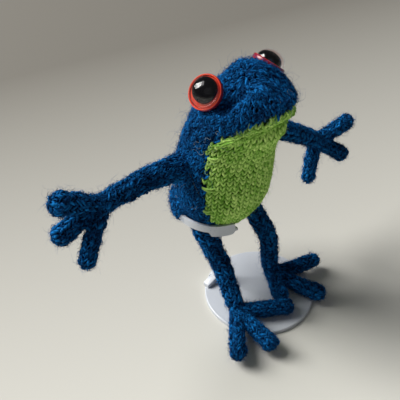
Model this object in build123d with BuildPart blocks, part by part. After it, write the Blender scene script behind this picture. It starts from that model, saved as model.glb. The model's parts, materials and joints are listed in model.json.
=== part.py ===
"""A small knitted frog figure with a wire skeleton, standing in a white plastic doll stand.

Millimetres, +Z up. The origin is the centre of the stand's underside. The frog faces -Y, its right side is -X.
"""

from build123d import *
from math import asin, cos, radians, sin, sqrt, tan
import os

os.makedirs("parts", exist_ok=True)

# ---------------------------------------------------------------- clearances
soft_gap = 0.3  # between a soft piece and what moves beside it
wire_fit = 0.05  # radial play of a wire in its wrapping
turn_fit = 0.05  # radial play of the clip on the post
seat_fit = 0.05  # radial play between the pieces of an eye
stuffing_gap = 0.2  # between the stuffing and the knitting
ground_gap = 0.4  # feet above the stand's disc

# ---------------------------------------------------------------- stand
base_radius = 22.0
base_thickness = 1.6
base_edge = 0.5  # rounding of the disc's upper edge
socket_radius = 2.6
socket_height = 5.0
rib_width = 2.0
rib_rim_height = 1.4  # height of the rib where it dies out at the rim
rib_rim_margin = 0.6  # from the rib's end to the rim
post_x = -8.6
post_y = 15.4
post_radius = 1.0
post_bite = 0.8  # how far the post is let into the disc

# ---------------------------------------------------------------- frog's mid-plane and knitted body
frog_x = -6.0
wall = 2.2  # thickness of the knitted fabric
# height, centre y, half width, half depth of the body's level sections, from the seat to the crown
body_sections = [
    (35.6, 19.8, 6.4, 5.8),
    (36.8, 19.7, 10.4, 9.6),
    (39.4, 19.5, 13.0, 12.2),
    (42.6, 19.1, 14.6, 13.8),
    (46.4, 18.4, 16.6, 15.4),
    (51.0, 17.6, 17.7, 16.4),
    (56.0, 17.1, 18.1, 16.6),
    (61.0, 16.7, 18.0, 16.5),
    (66.0, 16.2, 17.6, 16.2),
    (71.0, 15.4, 17.0, 15.8),
    (76.0, 14.0, 16.2, 15.6),
    (81.0, 11.9, 15.7, 15.8),
    (86.0, 9.2, 15.7, 16.3),
    (90.6, 7.2, 15.8, 16.2),
    (94.8, 6.2, 15.3, 15.2),
    (98.4, 6.2, 13.6, 13.0),
    (101.2, 6.8, 10.8, 9.8),
    (102.9, 7.6, 7.2, 6.2),
    (103.6, 8.0, 3.0, 2.6),
]
panel_half_width = 17.0  # the green panel's half width
panel_low_y = 17.0  # the side seams start this far back at the panel's floor
jaw_front = (-12.0, 99.4)  # y, z of the jaw seam ahead of the snout
jaw_back = (9.4, 79.5)  # y, z where the jaw seam meets the panel's side seam
panel_front_y = -40.0
panel_floor_z = 20.0

# ---------------------------------------------------------------- waist clip
clip_x = -6.8
clip_y = 20.4
clip_inner_radius = 14.8
clip_wall = 1.0
clip_bottom = 38.2
clip_height = 3.4
clip_front_angle = -99.0
clip_paddle_angle = -132.0  # from here to the front end the band is a deep paddle that reaches down to the web
clip_back_angle = 55.0
clip_web_angle = -107.0  # where the web from the hub meets the band
hub_radius = 2.5
hub_height = 7.2
hub_roof = 1.0
web_width = 6.0
web_thickness = 1.2
paddle_lift = 0.5  # the paddle's lower edge above the web's underside

# ---------------------------------------------------------------- eyes
eye_middle_x = -5.0  # midway between the eyes, a little to the left of the body's mid-plane
eye_offset = 14.0
eye_y = 12.0
eye_z = 98.4
eye_leans = {-1: (-0.74, -0.16, 0.65), 1: (0.68, 0.03, 0.73)}  # the way the right and the left eye look
eye_radius = 6.0
eye_back = 1.0
eye_lip = 0.7
eye_lip_height = 1.1
pupil_radius = 4.2
pupil_side = 1.5
pupil_dome = 1.3
lens_side = 0.9
lens_dome = 3.5
stem_radius = 1.0
stem_length = 10.0
washer_radius = 2.4
washer_thickness = 0.8

# ---------------------------------------------------------------- wire skeleton
wire_radius = 0.45
cup_rim = 0.35  # width of the rim round a cup
digit_root_radius = 2.7
digit_bend = 35.0
hub_step = 0.1  # the palm's neck is this much slimmer than its ball
foot_radius = 3.4
foot_z = base_thickness + ground_gap + foot_radius

# Each limb: root, middle and end joints, centre of the palm or foot, radii at those three joints,
# the reach of the knuckles, and for each digit its direction and length from the palm's centre and tip radius.
limbs = {
    "right_arm": {
        "joints": [(-22.2, 19.6, 66.2), (-38.4, 18.4, 69.6), (-55.4, 15.2, 72.6)],
        "palm": (-59.2, 14.4, 73.0),
        "radii": (4.9, 4.0, 3.3),
        "palm_radius": 3.7,
        "bends": (35.0, 60.0, 30.0),
        "knuckle_reach": 8.8,
        "digits": [((-13.4, 1.8, 6.6), 4.0), ((-14.0, 2.7, -6.4), 3.7), ((-11.6, -6.4, -12.8), 2.8)],
    },
    "left_arm": {
        "joints": [(9.8, 15.0, 71.6), (23.0, 13.4, 63.4), (36.4, 12.6, 54.0)],
        "palm": (39.6, 12.4, 51.6),
        "radii": (4.2, 3.7, 3.3),
        "palm_radius": 3.5,
        "bends": (35.0, 60.0, 30.0),
        "knuckle_reach": 7.8,
        "digits": [((18.0, 0.0, 0.6), 3.2), ((11.4, -4.5, -9.6), 3.1), ((-4.2, -1.5, -15.6), 2.6)],
    },
    "right_leg": {
        "joints": [(-17.2, 14.6, 34.4), (-14.9, 8.2, 20.2), (-15.9, -2.0, 9.0)],
        "palm": (-16.3, -4.8, foot_z),
        "radii": (3.8, 3.7, 3.2),
        "palm_radius": foot_radius,
        "bends": (30.0, 40.0, 25.0),
        "knuckle_reach": 8.8,
        "digits": [((-13.2, -14.4, 0.0), 3.2), ((-1.2, -18.9, 0.0), 3.2), ((16.0, -10.8, 0.0), 3.1)],
    },
    "left_leg": {
        "joints": [(5.0, 12.6, 36.6), (8.2, 4.4, 23.4), (7.9, 2.6, 9.4)],
        "palm": (8.0, 0.2, foot_z),
        "radii": (3.7, 3.6, 3.2),
        "palm_radius": foot_radius,
        "bends": (30.0, 40.0, 25.0),
        "knuckle_reach": 7.8,
        "digits": [((18.0, -5.4, 0.0), 2.9), ((6.4, -18.6, 0.0), 3.3), ((-5.6, -9.4, 0.0), 3.1)],
    },
}


def write(part, label):
    """Label a finished piece and write its file."""
    part.label = label
    export_step(part, f"parts/{label}.step")


def aim(start, end):
    """Plane at start whose normal points to end, and the distance between the two."""
    step = Vector(*end) - Vector(*start)
    return Plane(origin=start, z_dir=step), step.length


def beside(plane):
    """Plane that holds the given plane's normal: x is its radius and y runs along its normal."""
    return Plane(origin=plane.origin, x_dir=plane.x_dir, z_dir=plane.y_dir * -1)


def normal_axis(plane):
    """Axis along a plane's normal, through its origin."""
    return Axis(plane.origin, plane.z_dir)


def setback(ball_radius, bend, end_radius):
    """How far behind a hinge the carrying piece stops, so that the next piece's ball can bend in its cup."""
    for_bend = ball_radius * tan(radians(bend) / 2) + soft_gap
    for_rim = sqrt((ball_radius + soft_gap) ** 2 - (end_radius - cup_rim) ** 2)
    return max(for_bend, for_rim)


def dome(edge_radius, edge_height, rise):
    """Arc from a round piece's edge up to its axis."""
    sphere_radius = (edge_radius**2 + rise**2) / (2 * rise)
    half_angle = asin(edge_radius / sphere_radius) / 2
    middle = (sphere_radius * sin(half_angle), edge_height + rise - sphere_radius * (1 - cos(half_angle)))
    return ThreePointArc((edge_radius, edge_height), middle, (0, edge_height + rise))


# ---------------------------------------------------------------- stand
socket_reach = sqrt(post_x**2 + post_y**2)
outward = Vector(post_x, post_y, 0).normalized()
with BuildPart() as stand_base:
    with BuildSketch():
        Circle(base_radius)
    extrude(amount=base_thickness)
    fillet(stand_base.edges().group_by(Axis.Z)[-1], radius=base_edge)
    with BuildSketch(Plane.XY.offset(base_thickness)):
        with Locations((post_x, post_y)):
            Circle(socket_radius)
    extrude(amount=socket_height)
    # a low rib stiffens the socket and runs out to the rim
    with BuildSketch(Plane(origin=(0, 0, base_thickness), x_dir=outward, z_dir=outward.cross(Vector(0, 0, 1)))):
        with BuildLine():
            Polyline(
                (socket_reach, 0),
                (base_radius - rib_rim_margin, 0),
                (base_radius - rib_rim_margin, rib_rim_height),
                (socket_reach, socket_height),
                close=True,
            )
        make_face()
    extrude(amount=rib_width / 2, both=True)
    with BuildSketch(Plane.XY.offset(base_thickness - post_bite)):
        with Locations((post_x, post_y)):
            Circle(post_radius)
    extrude(amount=post_bite + socket_height, mode=Mode.SUBTRACT)
write(stand_base.part, "stand_base")

hub_top = body_sections[0][0] - soft_gap
hub_bottom = hub_top - hub_height
post_top = hub_top - hub_roof - turn_fit
with BuildPart() as stand_post:
    with BuildSketch(Plane.XY.offset(base_thickness - post_bite)):
        with Locations((post_x, post_y)):
            Circle(post_radius)
    extrude(amount=post_top - base_thickness + post_bite)
write(stand_post.part, "stand_post")

# ---------------------------------------------------------------- waist clip
clip_mid_radius = clip_inner_radius + clip_wall / 2
clip_top = clip_bottom + clip_height
web_bottom = hub_top - web_thickness
web_end = (
    clip_x + clip_mid_radius * cos(radians(clip_web_angle)),
    clip_y + clip_mid_radius * sin(radians(clip_web_angle)),
)
web_step = Vector(web_end[0] - post_x, web_end[1] - post_y)
with BuildPart() as waist_clip:
    with BuildSketch(Plane.XY.offset(clip_bottom)):
        with Locations((clip_x, clip_y)):
            band = CenterArc(
                (0, 0), clip_mid_radius, clip_back_angle, 360 + clip_front_angle - clip_back_angle, mode=Mode.PRIVATE
            )
            SlotArc(arc=band, height=clip_wall)
    extrude(amount=clip_height)
    with BuildSketch(Plane.XY.offset(web_bottom + paddle_lift)):
        with Locations((clip_x, clip_y)):
            end = CenterArc(
                (0, 0), clip_mid_radius, clip_paddle_angle, clip_front_angle - clip_paddle_angle, mode=Mode.PRIVATE
            )
            SlotArc(arc=end, height=clip_wall)
    extrude(amount=clip_top - web_bottom - paddle_lift)
    with BuildSketch(Plane(origin=(post_x, post_y, hub_top), x_dir=web_step, z_dir=(0, 0, 1))):
        with Locations((web_step.length / 2, 0)):
            Rectangle(web_step.length, web_width)
    extrude(amount=-web_thickness)
    with BuildSketch(Plane.XY.offset(hub_bottom)):
        with Locations((post_x, post_y)):
            Circle(hub_radius)
    extrude(amount=hub_height)
    with BuildSketch(Plane.XY.offset(hub_bottom)):
        with Locations((post_x, post_y)):
            Circle(post_radius + turn_fit)
    extrude(amount=hub_height - hub_roof, mode=Mode.SUBTRACT)
write(waist_clip.part, "waist_clip")


# ---------------------------------------------------------------- knitted body
def body_form(inset):
    """Body lofted through its level sections, each drawn in by the inset."""
    with BuildPart() as form:
        for index, (height, centre_y, half_width, half_depth) in enumerate(body_sections):
            if inset and index in (0, 1, len(body_sections) - 1):
                continue
            lift = inset if index == 2 else 0
            with BuildSketch(Plane.XY.offset(height + lift)):
                with Locations((frog_x, centre_y)):
                    Ellipse(half_width - inset, half_depth - inset)
        loft()
    return form.part


def limb_socket(limb):
    """Hollow that lets a limb's ball end turn in the body, with room for the limb on its outer side."""
    root_joint, middle_joint, _ = limb["joints"]
    radius = limb["radii"][0]
    bend = limb["bends"][0]
    plane, length = aim(root_joint, middle_joint)
    with BuildPart() as hollow:
        with Locations(plane):
            Sphere(radius + soft_gap)
        with BuildSketch(plane.offset(-radius * tan(radians(bend) / 2) - soft_gap)):
            Circle(radius / cos(radians(bend)) + soft_gap)
        extrude(amount=length)
    return hollow.part


def eye_plane(side):
    """Plane of an eye's rim, facing the way the eye looks. Side is 1 for the left eye, -1 for the right."""
    return Plane(origin=(eye_middle_x + side * eye_offset, eye_y, eye_z), z_dir=eye_leans[side])


def eye_seat(side):
    """Flat seat and stem hole that an eye takes out of the head."""
    with BuildPart() as seat:
        with BuildSketch(eye_plane(side).offset(-eye_back)):
            Circle(eye_radius + seat_fit)
        extrude(amount=eye_radius * 2)
        with BuildSketch(eye_plane(side).offset(-eye_back)):
            Circle(stem_radius + seat_fit)
        extrude(amount=-stem_length - stuffing_gap)
    return seat.part


def washer_room(side):
    """Space that an eye's washer and stem take out of the stuffing."""
    with BuildPart() as room:
        with BuildSketch(eye_plane(side)):
            Circle(washer_radius + stuffing_gap)
        extrude(amount=-eye_back - stem_length - stuffing_gap)
    return room.part


sockets = [limb_socket(limb) for limb in limbs.values()]
outer_form = body_form(0)
inner_form = body_form(wall)
with BuildPart() as panel_block:
    with BuildSketch(Plane.YZ.offset(frog_x)):
        with BuildLine():
            Polyline(
                (panel_front_y, panel_floor_z),
                (panel_low_y, panel_floor_z),
                jaw_back,
                jaw_front,
                (panel_front_y, jaw_front[1]),
                close=True,
            )
        make_face()
    extrude(amount=panel_half_width, both=True)

with BuildPart() as knit_back:
    add(outer_form)
    add(inner_form, mode=Mode.SUBTRACT)
    add(panel_block.part, mode=Mode.SUBTRACT)
    for socket in sockets:
        add(socket, mode=Mode.SUBTRACT)
    for side in (-1, 1):
        add(eye_seat(side), mode=Mode.SUBTRACT)
write(knit_back.part, "knit_back")

with BuildPart() as knit_belly:
    add(outer_form)
    add(inner_form, mode=Mode.SUBTRACT)
    add(panel_block.part, mode=Mode.INTERSECT)
    for socket in sockets:
        add(socket, mode=Mode.SUBTRACT)
write(knit_belly.part, "knit_belly")

with BuildPart() as stuffing:
    add(body_form(wall + stuffing_gap))
    for socket in sockets:
        add(socket, mode=Mode.SUBTRACT)
    for side in (-1, 1):
        add(washer_room(side), mode=Mode.SUBTRACT)
        add(eye_seat(side), mode=Mode.SUBTRACT)
write(stuffing.part, "stuffing")


# ---------------------------------------------------------------- eyes
def both_eyes(name, make):
    """Write the left and right copies of one piece of the eyes as one node."""
    with BuildPart() as pair:
        for side in (-1, 1):
            add(make(eye_plane(side)))
    write(pair.part, name)


def eye_cup(plane):
    """Round red dish with a raised lip, and the stem that goes through the knitting."""
    with BuildPart() as cup:
        with BuildSketch(plane.offset(-eye_back)):
            Circle(eye_radius)
        extrude(amount=eye_back + eye_lip_height)
        with BuildSketch(plane):
            Circle(eye_radius - eye_lip)
        extrude(amount=eye_lip_height, mode=Mode.SUBTRACT)
        with BuildSketch(plane.offset(-eye_back)):
            Circle(stem_radius)
        extrude(amount=-stem_length)
    return cup.part


def eye_pupil(plane):
    """Black button with a domed top, in the middle of the dish."""
    with BuildPart() as pupil:
        with BuildSketch(beside(plane)):
            with BuildLine():
                Polyline((0, pupil_side + pupil_dome), (0, 0), (pupil_radius, 0), (pupil_radius, pupil_side))
                dome(pupil_radius, pupil_side, pupil_dome)
            make_face()
        revolve(axis=normal_axis(plane))
    return pupil.part


def eye_lens(plane):
    """Clear dome over the pupil, seated inside the lip."""
    lens_radius = eye_radius - eye_lip - seat_fit
    pocket_radius = pupil_radius + seat_fit
    pocket_top = pupil_side + pupil_dome + seat_fit
    with BuildPart() as lens:
        with BuildSketch(beside(plane)):
            with BuildLine():
                dome(pocket_radius, pupil_side, pocket_top - pupil_side)
                Polyline((pocket_radius, pupil_side), (pocket_radius, 0), (lens_radius, 0), (lens_radius, lens_side))
                dome(lens_radius, lens_side, lens_dome)
                Line((0, lens_side + lens_dome), (0, pocket_top))
            make_face()
        revolve(axis=normal_axis(plane))
    return lens.part


def eye_washer(plane):
    """Ring that grips the stem inside the head."""
    with BuildPart() as washer:
        with BuildSketch(plane.offset(-eye_back - stem_length + washer_thickness)):
            Circle(washer_radius)
            Circle(stem_radius, mode=Mode.SUBTRACT)
        extrude(amount=washer_thickness)
    return washer.part


both_eyes("eye_cups", eye_cup)
both_eyes("eye_pupils", eye_pupil)
both_eyes("eye_lenses", eye_lens)
both_eyes("eye_washers", eye_washer)


# ---------------------------------------------------------------- limbs
def segment_wrap(plane, length, start_radius, end_radius, next_radius, bend):
    """Tapered yarn wrap with a ball at the plane's origin, a cup for the next ball and a bore for its wire."""
    stop = setback(next_radius, bend, end_radius)
    cup_radius = next_radius + soft_gap
    cup_mouth = sqrt(cup_radius**2 - stop**2)
    bore_radius = wire_radius + wire_fit
    bore_mouth = length - sqrt(cup_radius**2 - bore_radius**2)
    with BuildPart() as wrap:
        with BuildSketch(beside(plane)):
            with BuildLine():
                RadiusArc((0, -start_radius), (start_radius, 0), -start_radius)
                Polyline((start_radius, 0), (end_radius, length - stop), (cup_mouth, length - stop))
                RadiusArc((cup_mouth, length - stop), (bore_radius, bore_mouth), cup_radius)
                Polyline((bore_radius, bore_mouth), (bore_radius, 0), (0, 0), (0, -start_radius))
            make_face()
        revolve(axis=normal_axis(plane))
    return wrap.part


def digit_wrap(plane, length, root_radius, tip_radius):
    """Yarn wrap of a finger or toe, ball-ended at both ends, with a blind bore for its wire."""
    bore_radius = wire_radius + wire_fit
    with BuildPart() as wrap:
        with BuildSketch(beside(plane)):
            with BuildLine():
                RadiusArc((0, -root_radius), (root_radius, 0), -root_radius)
                Line((root_radius, 0), (tip_radius, length))
                RadiusArc((tip_radius, length), (0, length + tip_radius), -tip_radius)
                Polyline((0, length + tip_radius), (0, length), (bore_radius, length), (bore_radius, 0), (0, 0))
                Line((0, 0), (0, -root_radius))
            make_face()
        revolve(axis=normal_axis(plane))
    return wrap.part


def write_wire(plane, length, label):
    """Straight length of skeleton wire from the plane's origin."""
    with BuildPart() as wire:
        with BuildSketch(plane):
            Circle(wire_radius)
        extrude(amount=length)
    write(wire.part, label)


def write_segment(start, end, start_radius, end_radius, next_radius, bend, label):
    """Wrap and wire of one limb segment."""
    plane, length = aim(start, end)
    write(segment_wrap(plane, length, start_radius, end_radius, next_radius, bend), label)
    write_wire(plane, length - next_radius - 2 * soft_gap, f"{label}_wire")


def write_limb(name, limb, hub_name, digit_name):
    """All the wraps and wires of a limb: two segments, the palm or foot, and its digits."""
    root_joint, middle_joint, end_joint = limb["joints"]
    root_radius, middle_radius, end_radius = limb["radii"]
    _, middle_bend, end_bend = limb["bends"]
    write_segment(root_joint, middle_joint, root_radius, middle_radius, middle_radius, middle_bend, f"{name}_upper")
    write_segment(middle_joint, end_joint, middle_radius, end_radius, end_radius, end_bend, f"{name}_lower")
    palm = Vector(*limb["palm"])
    reach = limb["knuckle_reach"]
    stub_planes = [Plane(origin=palm, z_dir=Vector(*way)) for way, _ in limb["digits"]]
    neck_plane, neck_length = aim(end_joint, palm)
    stub_stop = setback(digit_root_radius, digit_bend, digit_root_radius)
    with BuildPart() as hub:
        with Locations(neck_plane):
            Sphere(end_radius)
        with Locations(neck_plane.offset(neck_length)):
            Sphere(limb["palm_radius"])
        with BuildSketch(neck_plane):
            Circle(end_radius - hub_step)
        extrude(amount=neck_length)
        for stub_plane in stub_planes:
            with BuildSketch(stub_plane):
                Circle(digit_root_radius)
            extrude(amount=reach - stub_stop)
        for stub_plane in stub_planes:
            with Locations(stub_plane.offset(reach)):
                Sphere(digit_root_radius + soft_gap, mode=Mode.SUBTRACT)
        with BuildSketch(neck_plane):
            Circle(wire_radius + wire_fit)
        extrude(amount=neck_length + wire_fit, mode=Mode.SUBTRACT)
    write(hub.part, f"{name}_{hub_name}")
    write_wire(neck_plane, neck_length, f"{name}_{hub_name}_wire")
    for number, (stub_plane, (way, tip_radius)) in enumerate(zip(stub_planes, limb["digits"]), start=1):
        plane = stub_plane.offset(reach)
        length = Vector(*way).length - reach
        label = f"{name}_{digit_name}_{number}"
        write(digit_wrap(plane, length, digit_root_radius, tip_radius), label)
        write_wire(plane, length, f"{label}_wire")


for side_name in ("right", "left"):
    write_limb(f"{side_name}_arm", limbs[f"{side_name}_arm"], "palm", "finger")
    write_limb(f"{side_name}_leg", limbs[f"{side_name}_leg"], "foot", "toe")
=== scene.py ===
"""Knitted frog with a wire skeleton, held up by a white plastic doll stand, dressed for rendering.

Sizes are in millimetres unless a name says otherwise, and are scaled to metres as meshes are made.
"""

import json
import logging
from dataclasses import dataclass, field
from enum import Enum
from typing import Callable, Sequence

import bpy
import numpy as np
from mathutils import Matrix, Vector


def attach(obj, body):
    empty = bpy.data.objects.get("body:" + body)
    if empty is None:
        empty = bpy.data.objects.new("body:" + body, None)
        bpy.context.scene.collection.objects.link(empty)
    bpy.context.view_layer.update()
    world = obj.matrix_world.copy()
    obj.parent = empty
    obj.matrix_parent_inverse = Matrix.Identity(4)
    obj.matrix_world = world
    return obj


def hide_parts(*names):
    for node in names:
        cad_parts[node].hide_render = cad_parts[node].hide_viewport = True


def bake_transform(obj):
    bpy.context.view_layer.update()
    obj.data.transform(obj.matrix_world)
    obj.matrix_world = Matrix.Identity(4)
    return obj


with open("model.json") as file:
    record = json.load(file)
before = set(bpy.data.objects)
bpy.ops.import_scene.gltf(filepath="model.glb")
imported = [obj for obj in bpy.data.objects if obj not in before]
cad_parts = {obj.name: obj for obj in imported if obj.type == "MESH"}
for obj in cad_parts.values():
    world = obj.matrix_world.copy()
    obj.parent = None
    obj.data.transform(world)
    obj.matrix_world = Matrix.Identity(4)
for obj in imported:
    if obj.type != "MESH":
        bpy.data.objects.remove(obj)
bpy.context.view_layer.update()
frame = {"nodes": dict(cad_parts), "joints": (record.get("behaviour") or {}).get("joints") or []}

logging.basicConfig(level=logging.INFO, format="%(message)s")
log = logging.getLogger("knitted_frog")

MM = 0.001
TABLE_GAP = 0.05  # no hair goes lower than this over the table
UP = np.array([0.0, 0.0, 1.0])
Array = np.ndarray
Mask = Callable[[Array], Array]
Range = tuple[float, float]
Point = tuple[float, float, float]
Colour = tuple[float, float, float]

# each eye's side of the frog (1 is its left), with the middle of the rim plane and the way the eye looks
EYE_PLACES = {-1: (-19.0, 12.0, 98.4), 1: (8.6, 12.1, 98.3)}
EYE_LEANS = {-1: (-0.74, -0.16, 0.65), 1: (0.63, -0.03, 0.75)}


def unit(vector: Sequence[float]) -> Array:
    """Scale a vector to length one.

    Args:
        vector: Any vector that isn't zero.

    Returns:
        The same direction with length one.
    """
    values = np.asarray(vector, float)
    return values / np.linalg.norm(values)


def rows_unit(vectors: Array) -> Array:
    """Scale each row of an array to length one.

    Args:
        vectors: Array of vectors, one a row.

    Returns:
        Array of the same shape.
    """
    return vectors / np.maximum(np.linalg.norm(vectors, axis=-1, keepdims=True), 1e-9)


def ramp(values: Array, span: Range) -> Array:
    """Rise smoothly from 0 to 1 across a span.

    Args:
        values: The values.
        span: Where the rise starts and where it ends, which may be the lower of the two.

    Returns:
        Array of the same shape.
    """
    share = np.clip((values - span[0]) / (span[1] - span[0]), 0, 1)
    return share * share * (3 - 2 * share)


def bump(values: Array, middle: float, width: float) -> Array:
    """Round hump of height 1.

    Args:
        values: The values.
        middle: Where the hump is highest.
        width: How far from there it falls to about a third.

    Returns:
        Array of the same shape.
    """
    return np.exp(-(((values - middle) / width) ** 2))


# ---------------------------------------------------------------- shader tools
class Socket:
    """Output socket of a shader node, with arithmetic that adds Math nodes."""

    def __init__(self, nodes: "NodeBench", link: bpy.types.NodeSocket) -> None:
        """Keep the bench that the socket belongs to and the socket itself."""
        self.nodes = nodes
        self.link = link

    def _math(self, operation: str, *values: "Socket | float") -> "Socket":
        """Add one Math node.

        Args:
            operation: The node's operation.
            values: Sockets or numbers for its inputs.

        Returns:
            The node's output.
        """
        return self.nodes.add("ShaderNodeMath", {"operation": operation}, dict(enumerate(values)))

    def __add__(self, other: "Socket | float") -> "Socket":
        """Sum."""
        return self._math("ADD", self, other)

    def __mul__(self, other: "Socket | float") -> "Socket":
        """Product."""
        return self._math("MULTIPLY", self, other)

    def __sub__(self, other: "Socket | float") -> "Socket":
        """Difference."""
        return self._math("SUBTRACT", self, other)

    def __rsub__(self, other: float) -> "Socket":
        """Difference with the number first."""
        return self._math("SUBTRACT", other, self)

    def sine(self) -> "Socket":
        """Sine of the value."""
        return self._math("SINE", self)

    def clamped(self) -> "Socket":
        """The value held between zero and one."""
        return self.nodes.add("ShaderNodeClamp", {}, {0: self})


class NodeBench:
    """Node tree of one material."""

    def __init__(self, name: str) -> None:
        """Make an empty material.

        Args:
            name: The material's name.
        """
        self.material = bpy.data.materials.new(name)
        self.material.use_nodes = True
        self.tree = self.material.node_tree
        self.tree.nodes.clear()

    def add(
        self, kind: str, settings: dict[str, object], inputs: dict[int | str, object], output: int | str = 0
    ) -> Socket:
        """Add one node.

        Args:
            kind: The node's type.
            settings: Attributes of the node; "stops" sets a ramp's colours.
            inputs: Values or sockets by input name or number.
            output: Which output to return.

        Returns:
            The chosen output.
        """
        node = self.tree.nodes.new(kind)
        for key, value in settings.items():
            if key == "stops":
                elements = node.color_ramp.elements
                while len(elements) < len(value):
                    elements.new(0.5)
                for element, (place, colour) in zip(elements, value):
                    element.position = place
                    element.color = (*colour, 1.0)
            else:
                setattr(node, key, value)
        for key, value in inputs.items():
            if isinstance(value, Socket):
                self.tree.links.new(value.link, node.inputs[key])
            elif isinstance(value, tuple) and len(value) == 3 and node.inputs[key].type == "RGBA":
                node.inputs[key].default_value = (*value, 1.0)
            else:
                node.inputs[key].default_value = value
        return Socket(self, node.outputs[output])

    def place(self) -> Socket:
        """Object coordinates."""
        return self.add("ShaderNodeTexCoord", {}, {}, "Object")

    def noise(self, scale: float, detail: float = 3.0, roughness: float = 0.55) -> Socket:
        """Noise over the object.

        Args:
            scale: Its scale, in waves a metre.
            detail: Its octaves.
            roughness: How strong the finer octaves are.

        Returns:
            The noise's value.
        """
        inputs = {"Vector": self.place(), "Scale": scale, "Detail": detail, "Roughness": roughness}
        return self.add("ShaderNodeTexNoise", {}, inputs)

    def ramp(self, factor: Socket, stops: Sequence[tuple[float, Colour]]) -> Socket:
        """Colours along a factor."""
        return self.add("ShaderNodeValToRGB", {"stops": stops}, {0: factor})

    def mix(self, factor: "Socket | float", first: object, second: object) -> Socket:
        """Mix of two colours.

        Args:
            factor: Share of the second colour.
            first: Colour or socket.
            second: Colour or socket.

        Returns:
            The mixed colour.
        """
        return self.add("ShaderNodeMix", {"data_type": "RGBA"}, {0: factor, 6: first, 7: second}, 2)

    def bump(self, height: Socket, strength: float, distance: float) -> Socket:
        """Bumped normal.

        Args:
            height: Height of the surface, from 0 to 1.
            strength: Share of the effect.
            distance: Height of 1 in metres.

        Returns:
            The normal.
        """
        return self.add("ShaderNodeBump", {}, {"Strength": strength, "Distance": distance, "Height": height})

    def surface(self, shader: Socket) -> bpy.types.Material:
        """Join a shader to the material's output.

        Args:
            shader: The finished shader.

        Returns:
            The material.
        """
        node = self.tree.nodes.new("ShaderNodeOutputMaterial")
        self.tree.links.new(shader.link, node.inputs["Surface"])
        return self.material

    def principled(self, inputs: dict[int | str, object]) -> Socket:
        """Principled shader with the given inputs."""
        return self.add("ShaderNodeBsdfPrincipled", {}, inputs)


def srgb(red: int, green: int, blue: int) -> Colour:
    """Linear colour from sRGB bytes.

    Args:
        red: Red from 0 to 255.
        green: Green from 0 to 255.
        blue: Blue from 0 to 255.

    Returns:
        Linear red, green and blue.
    """
    values = np.array([red, green, blue]) / 255.0
    linear = np.where(values <= 0.04045, values / 12.92, ((values + 0.055) / 1.055) ** 2.4)
    return tuple(float(value) for value in linear)


# ---------------------------------------------------------------- finishes
@dataclass(frozen=True)
class WoolFinish:
    """Wool yarn whose tone varies at random with the fibre and the stitch, with painted shade where each
    stitch sinks and in the grooves between the plies.
    """

    name: str
    deep: Colour
    middle: Colour
    bright: Colour
    sheen_tint: Colour
    fibre_scale: float = 900.0
    blotch_scale: float = 90.0
    ply_turns: float = 3.0
    blotch_share: float = 0.5  # how much each of the three moves the tone
    fibre_share: float = 0.8
    ply_shade_share: float = 0.12
    roughness: float = 0.75
    gloss: float = 0.06
    sheen: float = 0.03
    bump_strength: float = 0.7
    bump_depth: float = 0.00025

    def build(self) -> bpy.types.Material:
        """Make the material.

        Returns:
            The material, with twisted plies in its bump and as painted shade in its colour, and fibre flecks
            in its colour.
        """
        bench = NodeBench(self.name)
        tone = bench.add("ShaderNodeAttribute", {"attribute_name": "yarn_tone"}, {}, "Fac")
        blotches = bench.noise(self.blotch_scale, 2.0)
        fibres = bench.noise(self.fibre_scale, 4.0, 0.7)
        uv = bench.add("ShaderNodeUVMap", {"uv_map": "yarn"}, {})
        across = bench.add("ShaderNodeSeparateXYZ", {}, {0: uv}, "X")
        along = bench.add("ShaderNodeSeparateXYZ", {}, {0: uv}, "Y")
        twist = (across + along * self.ply_turns) * (2 * np.pi)
        plies = twist.sine() * 0.5 + 0.5
        # the stitches' tone brings painted shade, and the plies paint shade into the grooves between them;
        # blotches and fibres are random tone
        tone = tone + (blotches - 0.5) * self.blotch_share + (fibres - 0.5) * self.fibre_share
        factor = (tone + (plies - 0.5) * self.ply_shade_share).clamped()
        stops = [(0.0, self.deep), (0.5, self.middle), (1.0, self.bright)]
        colour = bench.ramp(factor, stops)
        height = plies * 0.5 + fibres * 0.5
        shader = bench.principled(
            {
                "Base Color": colour,
                "Roughness": (fibres * 0.2 + self.roughness).clamped(),
                "Normal": bench.bump(height, self.bump_strength, self.bump_depth),
                "Sheen Weight": self.sheen,
                "Sheen Roughness": 0.5,
                "Sheen Tint": (*self.sheen_tint, 1.0),
                "Specular IOR Level": self.gloss,
            }
        )
        return bench.surface(shader)


@dataclass(frozen=True)
class FibreFinish:
    """Loose hairs that stand off the yarn."""

    name: str
    root: Colour
    tip: Colour
    fleck_scale: float = 700.0
    fleck_share: float = 0.6
    roughness: float = 0.7
    gloss: float = 0.1

    def build(self) -> bpy.types.Material:
        """Make the material, paler towards the tips."""
        bench = NodeBench(self.name)
        tone = bench.add("ShaderNodeAttribute", {"attribute_name": "yarn_tone"}, {}, "Fac")
        flecks = bench.noise(self.fleck_scale, 2.0)
        colour = bench.mix((tone + (flecks - 0.5) * self.fleck_share).clamped(), self.root, self.tip)
        inputs = {"Base Color": colour, "Roughness": self.roughness, "Specular IOR Level": self.gloss}
        return bench.surface(bench.principled(inputs))


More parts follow.
